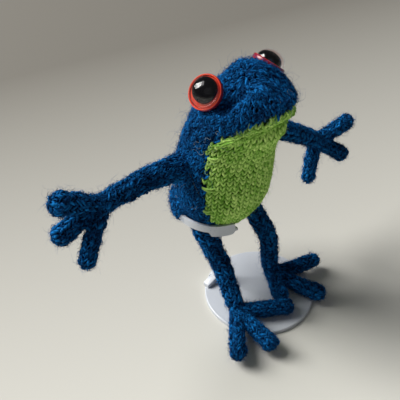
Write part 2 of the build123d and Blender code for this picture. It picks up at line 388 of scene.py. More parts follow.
@dataclass(frozen=True)
class MouldedPlasticFinish:
    """Moulded plastic with a faint mottle and fine handling marks."""

    name: str
    colour: Colour
    shade: Colour
    roughness: float = 0.3
    coat: float = 0.2
    mottle_scale: float = 60.0
    mark_scale: float = 1400.0
    mark_depth: float = 0.00002

    def build(self) -> bpy.types.Material:
        """Make the material."""
        bench = NodeBench(self.name)
        mottle = bench.noise(self.mottle_scale, 3.0)
        marks = bench.noise(self.mark_scale, 3.0, 0.7)
        colour = bench.mix(((mottle - 0.35) * 1.6).clamped(), self.colour, self.shade)
        shader = bench.principled(
            {
                "Base Color": colour,
                "Roughness": (marks * 0.2 + (self.roughness - 0.1)).clamped(),
                "Normal": bench.bump(mottle * 0.6 + marks * 0.4, 0.35, self.mark_depth),
                "Coat Weight": self.coat,
                "Coat Roughness": 0.12,
            }
        )
        return bench.surface(shader)


@dataclass(frozen=True)
class IrisFinish:
    """Glossy red ring with fine streaks and clouds of a deeper red; a darker copy is painted shade on the
    dishes' outer walls.
    """

    name: str = "eye_red"
    bright: Colour = srgb(236, 78, 50)
    deep: Colour = srgb(196, 30, 36)
    coat: float = 0.6
    cloud_scale: float = 260.0
    streak_scale: float = 2200.0

    def build(self) -> bpy.types.Material:
        """Make the material."""
        bench = NodeBench(self.name)
        cloud = bench.noise(self.cloud_scale, 3.0)
        streaks = bench.noise(self.streak_scale, 2.0)
        colour = bench.mix(((cloud - 0.4) * 2.2 + (streaks - 0.5) * 0.4).clamped(), self.bright, self.deep)
        shader = bench.principled(
            {
                "Base Color": colour,
                "Roughness": (streaks * 0.12 + 0.16).clamped(),
                "Coat Weight": self.coat,
                "Coat Roughness": 0.05,
            }
        )
        return bench.surface(shader)


@dataclass(frozen=True)
class PupilFinish:
    """Black button with faint grey specks under its gloss."""

    name: str = "eye_black"
    black: Colour = srgb(6, 6, 8)
    grey: Colour = srgb(74, 74, 80)
    speck_scale: float = 2600.0
    speck_radius: float = 0.22  # in cells of the specks' pattern
    dust_scale: float = 900.0

    def build(self) -> bpy.types.Material:
        """Make the material."""
        bench = NodeBench(self.name)
        pattern = {"Vector": bench.place(), "Scale": self.speck_scale}
        specks = bench.add("ShaderNodeTexVoronoi", {}, pattern, "Distance")
        dust = bench.noise(self.dust_scale, 2.0)
        shown = ((self.speck_radius - specks) * 6.0).clamped() * ((dust - 0.5) * 6.0).clamped()
        colour = bench.mix(shown, self.black, self.grey)
        shader = bench.principled(
            {
                "Base Color": colour,
                "Roughness": (dust * 0.04 + 0.05).clamped(),
                "Specular IOR Level": 0.16,
            }
        )
        return bench.surface(shader)


@dataclass(frozen=True)
class ClearDomeFinish:
    """Clear dome: see-through in front, glossy at a slant."""

    name: str = "eye_clear"
    index: float = 1.45  # of refraction
    tint: Colour = (0.96, 0.96, 0.97)
    smear_scale: float = 300.0
    edge_gloss: float = 0.25
    face_gloss: float = 0.026

    def build(self) -> bpy.types.Material:
        """Make the material."""
        bench = NodeBench(self.name)
        smear = bench.noise(self.smear_scale, 2.0)
        edge = bench.add("ShaderNodeFresnel", {}, {"IOR": self.index})
        clear = bench.add("ShaderNodeBsdfTransparent", {}, {"Color": self.tint})
        polish = {"Color": (1.0, 1.0, 1.0), "Roughness": smear * 0.02 + 0.01}
        gloss = bench.add("ShaderNodeBsdfAnisotropic", {}, polish)
        share = (edge * self.edge_gloss + self.face_gloss).clamped()
        return bench.surface(bench.add("ShaderNodeMixShader", {}, {0: share, 1: clear, 2: gloss}))


@dataclass(frozen=True)
class WireFinish:
    """Drawn steel wire with fine lines."""

    name: str = "skeleton_wire"
    dark: Colour = srgb(150, 150, 152)
    bright: Colour = srgb(190, 190, 192)
    line_scale: float = 1800.0

    def build(self) -> bpy.types.Material:
        """Make the material."""
        bench = NodeBench(self.name)
        lines = bench.noise(self.line_scale, 2.0)
        colour = bench.mix(lines, self.dark, self.bright)
        rough = (lines * 0.2 + 0.3).clamped()
        shader = bench.principled({"Base Color": colour, "Metallic": 1.0, "Roughness": rough})
        return bench.surface(shader)


@dataclass(frozen=True)
class FloorFinish:
    """Pale matt table top, with painted shade that darkens it away from the window."""

    name: str = "table_top"
    # the floor runs from near to far, darker away from the window: painted shade for the window's light
    # falling off
    near: Colour = srgb(221, 220, 212)
    far: Colour = srgb(124, 121, 114)
    painted_shade_way: tuple[float, float] = (0.80, 3.58)  # share of the dark colour gained per metre along x and y
    painted_shade_start: float = 0.23
    grain_scale: float = 500.0

    def build(self) -> bpy.types.Material:
        """Make the material."""
        bench = NodeBench(self.name)
        across = bench.add("ShaderNodeSeparateXYZ", {}, {0: bench.place()}, "X")
        depth = bench.add("ShaderNodeSeparateXYZ", {}, {0: bench.place()}, "Y")
        # painted shade: the share of the far colour grows away from the window
        away = (across * self.painted_shade_way[0] + depth * self.painted_shade_way[1] + self.painted_shade_start).clamped()
        grain = bench.noise(self.grain_scale, 2.0)
        colour = bench.mix(away, self.near, self.far)
        shader = bench.principled(
            {"Base Color": colour, "Roughness": (grain * 0.1 + 0.6).clamped(), "Specular IOR Level": 0.2}
        )
        return bench.surface(shader)


class Finishes:
    """All the materials, each made once."""

    def __init__(self) -> None:
        """Build every finish."""
        self.blue_wool = WoolFinish(
            "blue_wool", srgb(0, 3, 14), srgb(0, 44, 88), srgb(20, 122, 198), (0.1, 0.4, 0.9)
        ).build()
        # the cores are darker copies of the wools: painted shade for the gaps between the stitches
        self.blue_shaded_core = WoolFinish(
            "blue_shaded_core", srgb(0, 8, 22), srgb(0, 22, 48), srgb(4, 46, 84), (0.1, 0.4, 0.8)
        ).build()
        self.green_wool = WoolFinish(
            "green_wool", srgb(38, 68, 10), srgb(128, 182, 70), srgb(206, 240, 136), (0.7, 0.9, 0.5)
        ).build()
        self.green_shaded_core = WoolFinish(
            "green_shaded_core", srgb(34, 56, 16), srgb(58, 90, 30), srgb(88, 124, 48), (0.6, 0.8, 0.4)
        ).build()
        self.blue_fibre = FibreFinish("blue_fibre", srgb(0, 44, 94), srgb(28, 104, 172)).build()
        self.green_fibre = FibreFinish("green_fibre", srgb(96, 138, 54), srgb(164, 198, 112)).build()
        self.pale_fibre = FibreFinish("pale_fibre", srgb(120, 130, 122), srgb(190, 195, 180)).build()
        self.white_plastic = MouldedPlasticFinish(
            "white_plastic", srgb(199, 204, 211), srgb(189, 194, 202)
        ).build()
        self.washer = MouldedPlasticFinish(
            "washer_plastic", srgb(220, 220, 214), srgb(205, 205, 198), 0.5, 0.0
        ).build()
        self.iris = IrisFinish().build()
        # darker red for painted shade on the dishes' outer walls, which face away from the light
        self.eye_wall_painted_shade = IrisFinish("eye_wall_painted_shade", srgb(140, 20, 42), srgb(96, 10, 32), 0.0).build()
        self.pupil = PupilFinish().build()
        self.dome = ClearDomeFinish().build()
        self.wire = WireFinish().build()
        self.table = FloorFinish().build()


# ---------------------------------------------------------------- mesh tools
@dataclass
class MeshBatch:
    """Pieces of mesh that are gathered into one object."""

    points: list[Array] = field(default_factory=list)
    faces: list[list[int]] = field(default_factory=list)
    tones: list[Array] = field(default_factory=list)
    coords: list[Array] = field(default_factory=list)
    slots: list[int] = field(default_factory=list)
    count: int = 0

    def add(self, points: Array, faces: Array, tones: Array, coords: Array, slot: int) -> None:
        """Add one set of faces that all have the same number of corners.

        Args:
            points: Points in millimetres, one a row.
            faces: Corner numbers, one face a row.
            tones: Yarn tone of each point, random tone with painted shade.
            coords: Yarn coordinates of each point.
            slot: Material number.
        """
        self.points.append(points)
        self.tones.append(np.broadcast_to(tones, (len(points),)))
        self.coords.append(coords[faces.ravel()])
        self.faces.extend((faces + self.count).tolist())
        self.slots.extend([slot] * len(faces))
        self.count += len(points)

    def build(self, name: str, materials: Sequence[bpy.types.Material]) -> bpy.types.Object:
        """Make the object.

        Args:
            name: The object's name.
            materials: Its materials, in slot order.

        Returns:
            The object, at the origin.
        """
        mesh = bpy.data.meshes.new(name)
        points = np.concatenate(self.points)
        points[:, 2] = np.maximum(points[:, 2], TABLE_GAP)
        mesh.from_pydata((points * MM).tolist(), [], self.faces)
        layer = mesh.uv_layers.new(name="yarn")
        layer.data.foreach_set("uv", np.concatenate(self.coords).astype(np.float32).ravel())
        tone = mesh.attributes.new("yarn_tone", "FLOAT", "POINT")
        tone.data.foreach_set("value", np.concatenate(self.tones).astype(np.float32))
        for material in materials:
            mesh.materials.append(material)
        mesh.polygons.foreach_set("material_index", self.slots)
        mesh.polygons.foreach_set("use_smooth", [True] * len(self.slots))
        mesh.update()
        piece = bpy.data.objects.new(name, mesh)
        bpy.context.scene.collection.objects.link(piece)
        log.info("%s: %d faces", name, len(self.slots))
        return piece


class Workbench:
    """Small helpers round Blender's own modelling operators."""

    @staticmethod
    def clear() -> None:
        """Deselect everything."""
        bpy.ops.object.select_all(action="DESELECT")

    @staticmethod
    def turned(name: str, profile: Sequence[tuple[float, float]], segments: int = 64) -> bpy.types.Object:
        """Turn a round piece from a circle by extruding and resizing its edge ring.

        Args:
            name: The object's name.
            profile: Radius and height of each ring in millimetres, from the first to the last.
            segments: Corners of each ring.

        Returns:
            The piece, with its closed ends filled.
        """
        Workbench.clear()
        radius, height = profile[0]
        bpy.ops.mesh.primitive_circle_add(
            vertices=segments, radius=radius * MM, fill_type="NGON", location=(0, 0, height * MM)
        )
        piece = bpy.context.object
        piece.name = name
        bpy.ops.object.transform_apply(location=True, rotation=True, scale=True)
        bpy.ops.object.mode_set(mode="EDIT")
        bpy.ops.mesh.select_all(action="SELECT")
        for (from_radius, from_height), (to_radius, to_height) in zip(profile, profile[1:]):
            lift = (0, 0, (to_height - from_height) * MM)
            bpy.ops.mesh.extrude_region_move(TRANSFORM_OT_translate={"value": lift})
            ratio = to_radius / from_radius
            bpy.ops.transform.resize(value=(ratio, ratio, 1), center_override=(0, 0, to_height * MM))
        bpy.ops.mesh.select_all(action="SELECT")
        bpy.ops.mesh.normals_make_consistent(inside=False)
        bpy.ops.object.mode_set(mode="OBJECT")
        return piece

    @staticmethod
    def modified(piece: bpy.types.Object, kind: str, settings: dict[str, object]) -> bpy.types.Object:
        """Add one modifier and apply it.

        Args:
            piece: The object.
            kind: The modifier's type.
            settings: Its attributes.

        Returns:
            The same object.
        """
        Workbench.clear()
        piece.select_set(True)
        bpy.context.view_layer.objects.active = piece
        modifier = piece.modifiers.new(kind.lower(), kind)
        for key, value in settings.items():
            setattr(modifier, key, value)
        bpy.ops.object.modifier_apply(modifier=modifier.name)
        return piece

    @staticmethod
    def bevelled(piece: bpy.types.Object, width: float, segments: int) -> bpy.types.Object:
        """Round every edge that turns by more than 50 degrees.

        Args:
            piece: The object.
            width: Width of the rounding in millimetres.
            segments: Its facets.

        Returns:
            The same object.
        """
        settings = {
            "width": width * MM,
            "segments": segments,
            "limit_method": "ANGLE",
            "angle_limit": float(np.radians(50)),
        }
        return Workbench.modified(piece, "BEVEL", settings)

    @staticmethod
    def painted(piece: bpy.types.Object, *materials: bpy.types.Material) -> None:
        """Give a piece its materials, in slot order, in place of any others."""
        piece.data.materials.clear()
        for material in materials:
            piece.data.materials.append(material)

    @staticmethod
    def placed(piece: bpy.types.Object, moved: Callable[[Array], Array]) -> bpy.types.Object:
        """Move a piece's points and keep its object at the origin.

        Args:
            piece: The object.
            moved: Function from old points to new ones, in millimetres.

        Returns:
            The same object.
        """
        mesh = piece.data
        points = np.empty(len(mesh.vertices) * 3)
        mesh.vertices.foreach_get("co", points)
        points = moved(points.reshape(-1, 3) / MM) * MM
        mesh.vertices.foreach_set("co", points.ravel())
        mesh.update()
        return piece

    @staticmethod
    def joined(name: str, pieces: Sequence[bpy.types.Object]) -> bpy.types.Object:
        """Join pieces into the first of them.

        Args:
            name: Name of the result.
            pieces: The objects.

        Returns:
            The joined object.
        """
        Workbench.clear()
        for piece in pieces:
            piece.select_set(True)
        bpy.context.view_layer.objects.active = pieces[0]
        bpy.ops.object.join()
        pieces[0].name = name
        return pieces[0]

    @staticmethod
    def smooth(piece: bpy.types.Object, degrees: float = 35.0) -> None:
        """Smooth the shading up to an angle.

        Args:
            piece: The object.
            degrees: The largest angle that stays smooth.
        """
        Workbench.clear()
        piece.select_set(True)
        bpy.context.view_layer.objects.active = piece
        bpy.ops.object.shade_smooth_by_angle(angle=np.radians(degrees))


# ---------------------------------------------------------------- surfaces that carry stitches
class TorsoSurface:
    """Closed surface of the body, from the seat to the crown, as a grid of points."""

    rows: int = 180
    columns: int = 216
    closed_radius: float = 0.05  # what is left open at the seat and at the crown
    crown_rise: float = 0.3
    curve_steps: int = 1200

    def __init__(self, middle_x: float, sections: Sequence[tuple[float, float, float, float]]) -> None:
        """Fit the grid through level sections.

        Args:
            middle_x: The frog's mid-plane.
            sections: Height, centre y, half width and half depth of each section.
        """
        seat, crown, closed = sections[0], sections[-1], (self.closed_radius, self.closed_radius)
        first = (seat[0], seat[1], *closed)
        last = (crown[0] + self.crown_rise, crown[1], *closed)
        table = np.array([first, *sections, last])
        steps = np.hypot(np.diff(table[:, 0]), np.diff(table[:, 2]))
        knots = np.concatenate([[0], np.cumsum(steps)])
        fine = np.linspace(0, knots[-1], self.curve_steps)
        curve = np.stack([self._smooth(knots, table[:, column], fine) for column in range(4)], 1)
        length = np.concatenate([[0], np.cumsum(np.hypot(np.diff(curve[:, 0]), np.diff(curve[:, 2])))])
        self.length = float(length[-1])
        along = np.linspace(0, self.length, self.rows)
        height, centre, width, depth = (np.interp(along, length, curve[:, column]) for column in range(4))
        angle = np.linspace(0, 2 * np.pi, self.columns, endpoint=False)
        grid = np.empty((self.rows, self.columns, 3))
        grid[..., 0] = middle_x + width[:, None] * np.sin(angle)
        grid[..., 1] = centre[:, None] - depth[:, None] * np.cos(angle)
        grid[..., 2] = height[:, None]
        self.grid = grid
        self.refresh()

    @staticmethod
    def _smooth(knots: Array, values: Array, at: Array) -> Array:
        """Cubic curve through values at uneven knots.

        Args:
            knots: Places of the values.
            values: The values.
            at: Where the curve is read.

        Returns:
            The curve's values.
        """
        slopes = np.gradient(values, knots)
        slopes[0] = slopes[-1] = 0.0
        index = np.clip(np.searchsorted(knots, at, side="right") - 1, 0, len(knots) - 2)
        span = knots[index + 1] - knots[index]
        t = (at - knots[index]) / span
        first, second = values[index], values[index + 1]
        return (
            (2 * t**3 - 3 * t**2 + 1) * first
            + (t**3 - 2 * t**2 + t) * span * slopes[index]
            + (3 * t**2 - 2 * t**3) * second
            + (t**3 - t**2) * span * slopes[index + 1]
        )

    def refresh(self) -> None:
        """Work out the normals again after the grid has moved."""
        around = np.roll(self.grid, -1, 1) - np.roll(self.grid, 1, 1)
        along = np.gradient(self.grid, axis=0)
        normals = np.cross(around, along)
        normals[0], normals[-1] = -UP, UP
        self.normals = rows_unit(normals)

    def sample(self, around: Array, along: Array, height: Array) -> Array:
        """Points over the surface.

        Args:
            around: Turns round the body, 0 at the front.
            along: Millimetres from the middle of the seat.
            height: Millimetres above the surface.

        Returns:
            The points.
        """
        column = (np.asarray(around) % 1.0) * self.columns
        row = np.clip(np.asarray(along) / self.length, 0, 1) * (self.rows - 1)
        left = np.floor(column).astype(int) % self.columns
        right = (left + 1) % self.columns
        low = np.minimum(np.floor(row).astype(int), self.rows - 2)
        across, up = (column - np.floor(column))[..., None], (row - low)[..., None]

        def blend(values: Array) -> Array:
            """Bilinear reading of a grid."""
            lower = values[low, left] * (1 - across) + values[low, right] * across
            upper = values[low + 1, left] * (1 - across) + values[low + 1, right] * across
            return lower * (1 - up) + upper * up

        return blend(self.grid) + rows_unit(blend(self.normals)) * np.asarray(height)[..., None]

    def girth(self, along: float) -> float:
        """Length round the body at one row.

        Args:
            along: Millimetres from the middle of the seat.

        Returns:
            The girth in millimetres.
        """
        row = int(np.clip(round(along / self.length * (self.rows - 1)), 0, self.rows - 1))
        ring = self.grid[row]
        return float(np.linalg.norm(np.roll(ring, -1, 0) - ring, axis=1).sum())


class CordSurface:
    """Surface of a limb or digit: a tube round a bending line, with a round tip at its far end."""

    rows: int = 160
    tip_rings: int = 9
    tip_opening: float = 0.03  # radius of the last ring

    def __init__(self, line: Array, radii: Array) -> None:
        """Fit frames along the line.

        Args:
            line: Points of the middle line.
            radii: Radius at each point.
        """
        tip_way, tip_radius = unit(line[-1] - line[-2]), radii[-1]
        angles = np.linspace(0, np.pi / 2, self.tip_rings)[1:]
        line = np.vstack([line, line[-1] + tip_way * (tip_radius * np.sin(angles))[:, None]])
        radii = np.concatenate([radii, np.maximum(tip_radius * np.cos(angles), self.tip_opening)])
        steps = np.hypot(np.linalg.norm(np.diff(line, axis=0), axis=1), np.diff(radii))
        length = np.concatenate([[0], np.cumsum(steps)])
        self.length = float(length[-1])
        self.places = np.linspace(0, self.length, self.rows)
        self.line = np.stack([np.interp(self.places, length, line[:, axis]) for axis in range(3)], 1)
        self.radii = np.interp(self.places, length, radii)
        ways = rows_unit(np.gradient(self.line, axis=0) + 1e-12)
        side = unit(np.cross(ways[0], UP if abs(ways[0] @ UP) < 0.9 else np.array([1.0, 0, 0])))
        sides = []
        for way in ways:
            side = unit(side - way * (side @ way))
            sides.append(side)
        self.ways, self.sides = ways, np.array(sides)
        self.others = np.cross(self.ways, self.sides)
        self.slopes = np.gradient(self.radii, self.places)

    def sample(self, around: Array, along: Array, height: Array) -> Array:
        """Points over the surface.

        Args:
            around: Turns round the limb.
            along: Millimetres along it.
            height: Millimetres above the surface.

        Returns:
            The points.
        """
        place = np.clip(np.asarray(along), 0, self.length)
        extra = (np.asarray(along) - place)[..., None]

        def read(values: Array) -> Array:
            """Reading of each column along the limb."""
            return np.stack([np.interp(place, self.places, values[:, axis]) for axis in range(3)], -1)

        way, side, other = read(self.ways), read(self.sides), read(self.others)
        radius = np.interp(place, self.places, self.radii)[..., None]
        slope = np.clip(np.interp(place, self.places, self.slopes), -0.999, 0.999)[..., None]
        angle = (np.asarray(around) * 2 * np.pi)[..., None]
        out = side * np.cos(angle) + other * np.sin(angle)
        normal = out * np.sqrt(1 - slope**2) - way * slope
        return read(self.line) + out * radius + normal * np.asarray(height)[..., None] + way * extra

    def girth(self, along: float) -> float:
        """Length round the limb at one place."""
        return float(2 * np.pi * np.interp(along, self.places, self.radii))


Surface = TorsoSurface | CordSurface


# ---------------------------------------------------------------- knitting
class Side(Enum):
    """Which leg of a stitch."""

    LEFT = -1
    RIGHT = 1


@dataclass(frozen=True)
class Gauge:
    """Size and regularity of the stitches."""

    width: float
    height: float
    thickness: float
    unevenness: float


@dataclass(frozen=True)
class LegShape:
    """How a stitch's leg lies. A pair is a mean and how much it differs from leg to leg."""

    offset: float = 0.2  # of the leg from the stitch's middle, in stitch widths
    tilt: Range = (0.26, 0.10)
    length: Range = (0.78, 0.08)  # in stitch heights
    half_width: Range = (0.27, 0.02)  # in stitch widths
    slant: float = 0.12  # between the leg's two sides, in stitch heights
    side_drift: float = 0.03
    row_drift: float = 0.1
    depth_drift: float = 0.16


@dataclass(frozen=True)
class HairCoat:
    """Shape of one coat of loose hairs."""

    length: float  # mean length of a hair
    radius: float  # at its root
    curl: float  # how much it turns at each step
    rise: float  # 0 lies flat, 1 stands up
    lift: float = 0.5  # height of the roots over the surface
    steps: int = 6  # straight lengths in each hair
    spread: float = 0.0  # how much the hairs' tones differ


class Knitter:
    """Lays stitches and loose hairs over surfaces. One stitch leg is modelled once and copied."""

    leg_shape = LegShape()

    def __init__(self, seed: int) -> None:
        """Model the stitch leg.

        Args:
            seed: Seed of all that is uneven.
        """
        self.random = np.random.default_rng(seed)
        Workbench.clear()
        bpy.ops.mesh.primitive_uv_sphere_add(segments=6, ring_count=6, radius=1.0)
        pattern = bpy.context.object
        mesh = pattern.data
        self.leg = np.array([vertex.co[:] for vertex in mesh.vertices])
        self.quads = np.array([list(face.vertices) for face in mesh.polygons if len(face.vertices) == 4])
        self.triangles = np.array([list(face.vertices) for face in mesh.polygons if len(face.vertices) == 3])
        bpy.data.objects.remove(pattern)
        ring = np.arctan2(self.leg[:, 1], self.leg[:, 0]) / (2 * np.pi)
        self.leg_coords = np.stack([ring, self.leg[:, 2] * 0.5], 1)

    def stitches(
        self,
        batch: MeshBatch,
        surface: Surface,
        gauge: Gauge,
        start: float,
        end: float,
        slot: int,
        keep: Mask | None = None,
    ) -> None:
        """Knit plain stitches over part of a surface.

        Args:
            batch: Where the stitches go.
            surface: The surface.
            gauge: The stitches' size.
            start: Where the first row is, in millimetres along the surface.
            end: Where the last row is.
            slot: Material number.
            keep: Test of the stitches' middle points, or none to keep all.
        """
        rows = np.arange(start, end, gauge.height)
        top = max(surface.girth(float(row)) for row in rows)
        full = max(8, int(round(top / gauge.width / 8)) * 8)
        around_list, along_list, width_list = [], [], []
        for row in rows:
            count = full
            while count > 5 and surface.girth(float(row)) / count < gauge.width * 0.62:
                count //= 2
            cells = (np.arange(count) + 0.5) / count
            around_list.append(cells)
            along_list.append(np.full(count, row))
            width_list.append(np.full(count, 1.0 / count))
        around, along, width = map(np.concatenate, (around_list, along_list, width_list))
        if keep is not None:
            kept = keep(surface.sample(around, along, np.zeros(len(around))))
            around, along, width = around[kept], along[kept], width[kept]
        for side in Side:
            self._legs(batch, surface, gauge, around, along, width, side, slot)

    def _legs(
        self,
        batch: MeshBatch,
        surface: Surface,
        gauge: Gauge,
        around: Array,
        along: Array,
        width: Array,
        side: Side,
        slot: int,
    ) -> None:
        """Lay one leg of every stitch.

        Args:
            batch: Where the legs go.
            surface: The surface.
            gauge: The stitches' size.
            around: Turns round the surface to each stitch's middle.
            along: Place of each stitch along the surface.
            width: Each stitch's width in turns.
            side: Which leg.
            slot: Material number.
        """
        count, rough, shape = len(around), gauge.unevenness, self.leg_shape
        if not count:
            return
        jitter = self.random.normal(0, 1, (count, 5))
        sign = side.value
        tilt = sign * (shape.tilt[0] + shape.tilt[1] * rough * jitter[:, 0])
        long = gauge.height * (shape.length[0] + shape.length[1] * rough * jitter[:, 1])
        half = shape.half_width[0] + shape.half_width[1] * rough * jitter[:, 2]
        across, up, out = self.leg[:, 0], self.leg[:, 2], self.leg[:, 1]
        # across the leg, along the leg and out from the surface, in shares of the stitch
        cell_x = sign * shape.offset + tilt[:, None] * up * 0.9 + half[:, None] * across
        cell_x = cell_x + shape.side_drift * rough * jitter[:, 3, None]
        cell_y = long[:, None] * up + shape.slant * gauge.height * sign * across * rough
        bulge = gauge.thickness * (0.62 * out + 0.45 * (1 - up**2) - 0.30)
        depth = bulge + gauge.thickness * shape.depth_drift * rough * jitter[:, 4, None]
        turns = around[:, None] + cell_x * width[:, None]
        places = along[:, None] + cell_y + gauge.height * shape.row_drift * rough * jitter[:, 0, None]
        points = surface.sample(turns, places, np.broadcast_to(depth, turns.shape)).reshape(-1, 3)
        # painted shade: each leg is lighter where it faces out and at its middle, darker at its sides and
        # ends where it sinks between stitches; the jitter adds random tone
        tone = 0.42 + 0.26 * (out + 0.5 * (1 - up**2)) + 0.12 * jitter[:, 3, None]
        coords = self.leg_coords[None] + self.random.uniform(0, 1, (count, 1, 2))
        offsets = (np.arange(count) * len(self.leg))[:, None, None]
        flat = coords.reshape(-1, 2)
        start = batch.count
        quads = (self.quads[None] + offsets).reshape(-1, 4)
        triangles = (self.triangles[None] + offsets).reshape(-1, 3)
        if side is Side.LEFT:
            quads, triangles = quads[:, ::-1], triangles[:, ::-1]
        batch.add(points, quads, tone.ravel(), flat, slot)
        batch.faces.extend((triangles + start).tolist())
        batch.coords.append(flat[triangles.ravel()])
        batch.slots.extend([slot] * len(triangles))

    def core(
        self,
        batch: MeshBatch,
        surface: Surface,
        start: float,
        end: float,
        slot: int | Callable[[Array], Array],
        sink: float,
        around: int = 40,
        step: float = 1.2,
    ) -> None:
        """Lay the plain backing under the stitches, in a darker material that is painted shade in the gaps
        between them.

        Args:
            batch: Where the backing goes.
            surface: The surface.
            start: Where it starts along the surface.
            end: Where it ends.
            slot: Material number, or a function from face middles to material numbers.
            sink: How far it lies under the surface.
            around: Faces round the surface.
            step: Length of each face along the surface.
        """
        rows = np.linspace(start, end, max(3, int((end - start) / step)))
        turns = np.arange(around) / around
        grid_u, grid_v = np.meshgrid(turns, rows)
        points = surface.sample(grid_u.ravel(), grid_v.ravel(), np.full(grid_u.size, -sink))
        index = np.arange(grid_u.size).reshape(grid_u.shape)
        after = np.roll(index, -1, 1)
        faces = np.stack([index[:-1], after[:-1], after[1:], index[1:]], -1).reshape(-1, 4)
        coords = np.stack([grid_u.ravel() * around * 0.5, grid_v.ravel() * 0.5], 1)
        tone = np.full(grid_u.size, 0.4)
        if callable(slot):
            slots = slot(points[faces].mean(1))
            for number in np.unique(slots):
                chosen = faces[slots == number]
                used, renumbered = np.unique(chosen, return_inverse=True)
                batch.add(points[used], renumbered.reshape(-1, 4), tone[used], coords[used], int(number))
        else:
            batch.add(points, faces, tone, coords, slot)
            for ring in (index[0][::-1], index[-1]):
                middle = points[ring].mean(0)[None]
                fan_points = np.vstack([points[ring], middle])
                order = np.arange(around)
                fan = np.stack([order, np.roll(order, -1), np.full(around, around)], 1)
                batch.add(fan_points, fan, np.full(around + 1, 0.4), np.zeros((around + 1, 2)), slot)

    def hairs(
        self,
        batch: MeshBatch,
        surface: Surface,
        count: int,
        start: float,
        end: float,
        slot: int,
        coat: HairCoat,
        keep: Mask | None = None,
    ) -> None:
        """Scatter loose hairs.

        Args:
            batch: Where the hairs go.
            surface: The surface.
            count: How many are tried.
            start: Lowest place along the surface.
            end: Highest place.
            slot: Material number.
            coat: The hairs' shape.
            keep: Test of the root points, or none to keep all.
        """
        around = self.random.uniform(0, 1, count)
        along = self.random.uniform(start, end, count)
        girths = np.array([surface.girth(float(place)) for place in along])
        shown = self.random.uniform(0, girths.max(), count) < girths
        around, along = around[shown], along[shown]
        roots = surface.sample(around, along, np.full(len(around), coat.lift))
        normals = rows_unit(roots - surface.sample(around, along, np.full(len(around), coat.lift - 0.5)))
        if keep is not None:
            kept = keep(roots)
            roots, normals = roots[kept], normals[kept]
        self._strands(batch, roots, normals, slot, coat)

    def _strands(self, batch: MeshBatch, roots: Array, normals: Array, slot: int, coat: HairCoat) -> None:
        """Grow three-sided hairs from their roots.

        Args:
            batch: Where the hairs go.
            roots: Point under each hair.
            normals: Way out of the surface there.
            slot: Material number.
            coat: The hairs' shape.
        """
        count, steps = len(roots), coat.steps
        if not count:
            return
        # each hair leaves in its own direction, with its own length and its own curl
        flat = rows_unit(np.cross(normals, self.random.normal(0, 1, (count, 3))))
        way = rows_unit(flat + normals * (coat.rise * self.random.uniform(0.2, 1.6, (count, 1))))
        lengths = coat.length * self.random.uniform(0.45, 1.5, (count, 1)) / steps
        spin = rows_unit(self.random.normal(0, 1, (count, 3))) * coat.curl
        line = [roots - normals * 0.3]
        for _ in range(steps):
            wander = self.random.normal(0, 0.22 * coat.curl, (count, 3))
            way = rows_unit(way + np.cross(spin, way) * 0.8 + wander)
            # no hair grows back into the wool
            sinking = np.minimum((way * normals).sum(1, keepdims=True), 0)
            way = rows_unit(way - normals * sinking)
            line.append(line[-1] + way * lengths)
        path = np.stack(line, 1)
        ways = rows_unit(np.gradient(path, axis=1))
        side = rows_unit(np.cross(ways, normals[:, None] + 0.01))
        other = np.cross(ways, side)
        taper = np.linspace(1.0, 0.35, steps + 1)[None, :, None] * coat.radius
        corners = []
        for corner in range(3):
            angle = corner * 2 * np.pi / 3
            corners.append(path + (side * np.cos(angle) + other * np.sin(angle)) * taper)
        points = np.stack(corners, 2).reshape(count, -1, 3)
        ring = np.arange(3)
        after = (ring + 1) % 3
        side_faces = np.stack([ring, after, after + 3, ring + 3], 1)
        base = np.concatenate([side_faces + step * 3 for step in range(steps)])
        each = (steps + 1) * 3
        faces = (base[None] + (np.arange(count) * each)[:, None, None]).reshape(-1, 4)
        along = np.repeat(np.linspace(0.25, 0.75, steps + 1), 3)[None]
        tone = np.clip(along + self.random.normal(0, 1, (count, 1)) * coat.spread, 0, 1)
        batch.add(points.reshape(-1, 3), faces, tone.ravel(), np.zeros((count * each, 2)), slot)

    def loop(self, batch: MeshBatch, line: Array, radius: float, slot: int, tone: float = 0.7) -> None:
        """Lay one thick strand of yarn along a line.

        Args:
            batch: Where it goes.
            line: Its points.
            radius: Its radius.
            slot: Material number.
            tone: Its yarn tone.
        """
        count, sides = len(line), 7
        ways = rows_unit(np.gradient(line, axis=0))
        side = rows_unit(np.cross(ways, UP + 0.01))
        other = np.cross(ways, side)
        ends = radius * np.sqrt(np.maximum(1 - np.linspace(-1, 1, count) ** 6, 0.02))
        angles = np.arange(sides) * 2 * np.pi / sides
        rims = [side * np.cos(angle) + other * np.sin(angle) for angle in angles]
        points = np.concatenate([line + rim * ends[:, None] for rim in rims])
        index = np.arange(sides * count).reshape(sides, count)
        after = np.roll(index, -1, 0)
        faces = np.stack([index[:, :-1], index[:, 1:], after[:, 1:], after[:, :-1]], -1).reshape(-1, 4)
        round_yarn = np.repeat(np.arange(sides) / sides, count)
        along_yarn = np.tile(np.arange(count) * 0.2, sides)
        coords = np.stack([round_yarn, along_yarn], 1)
        batch.add(points, faces, np.full(sides * count, tone), coords, slot)


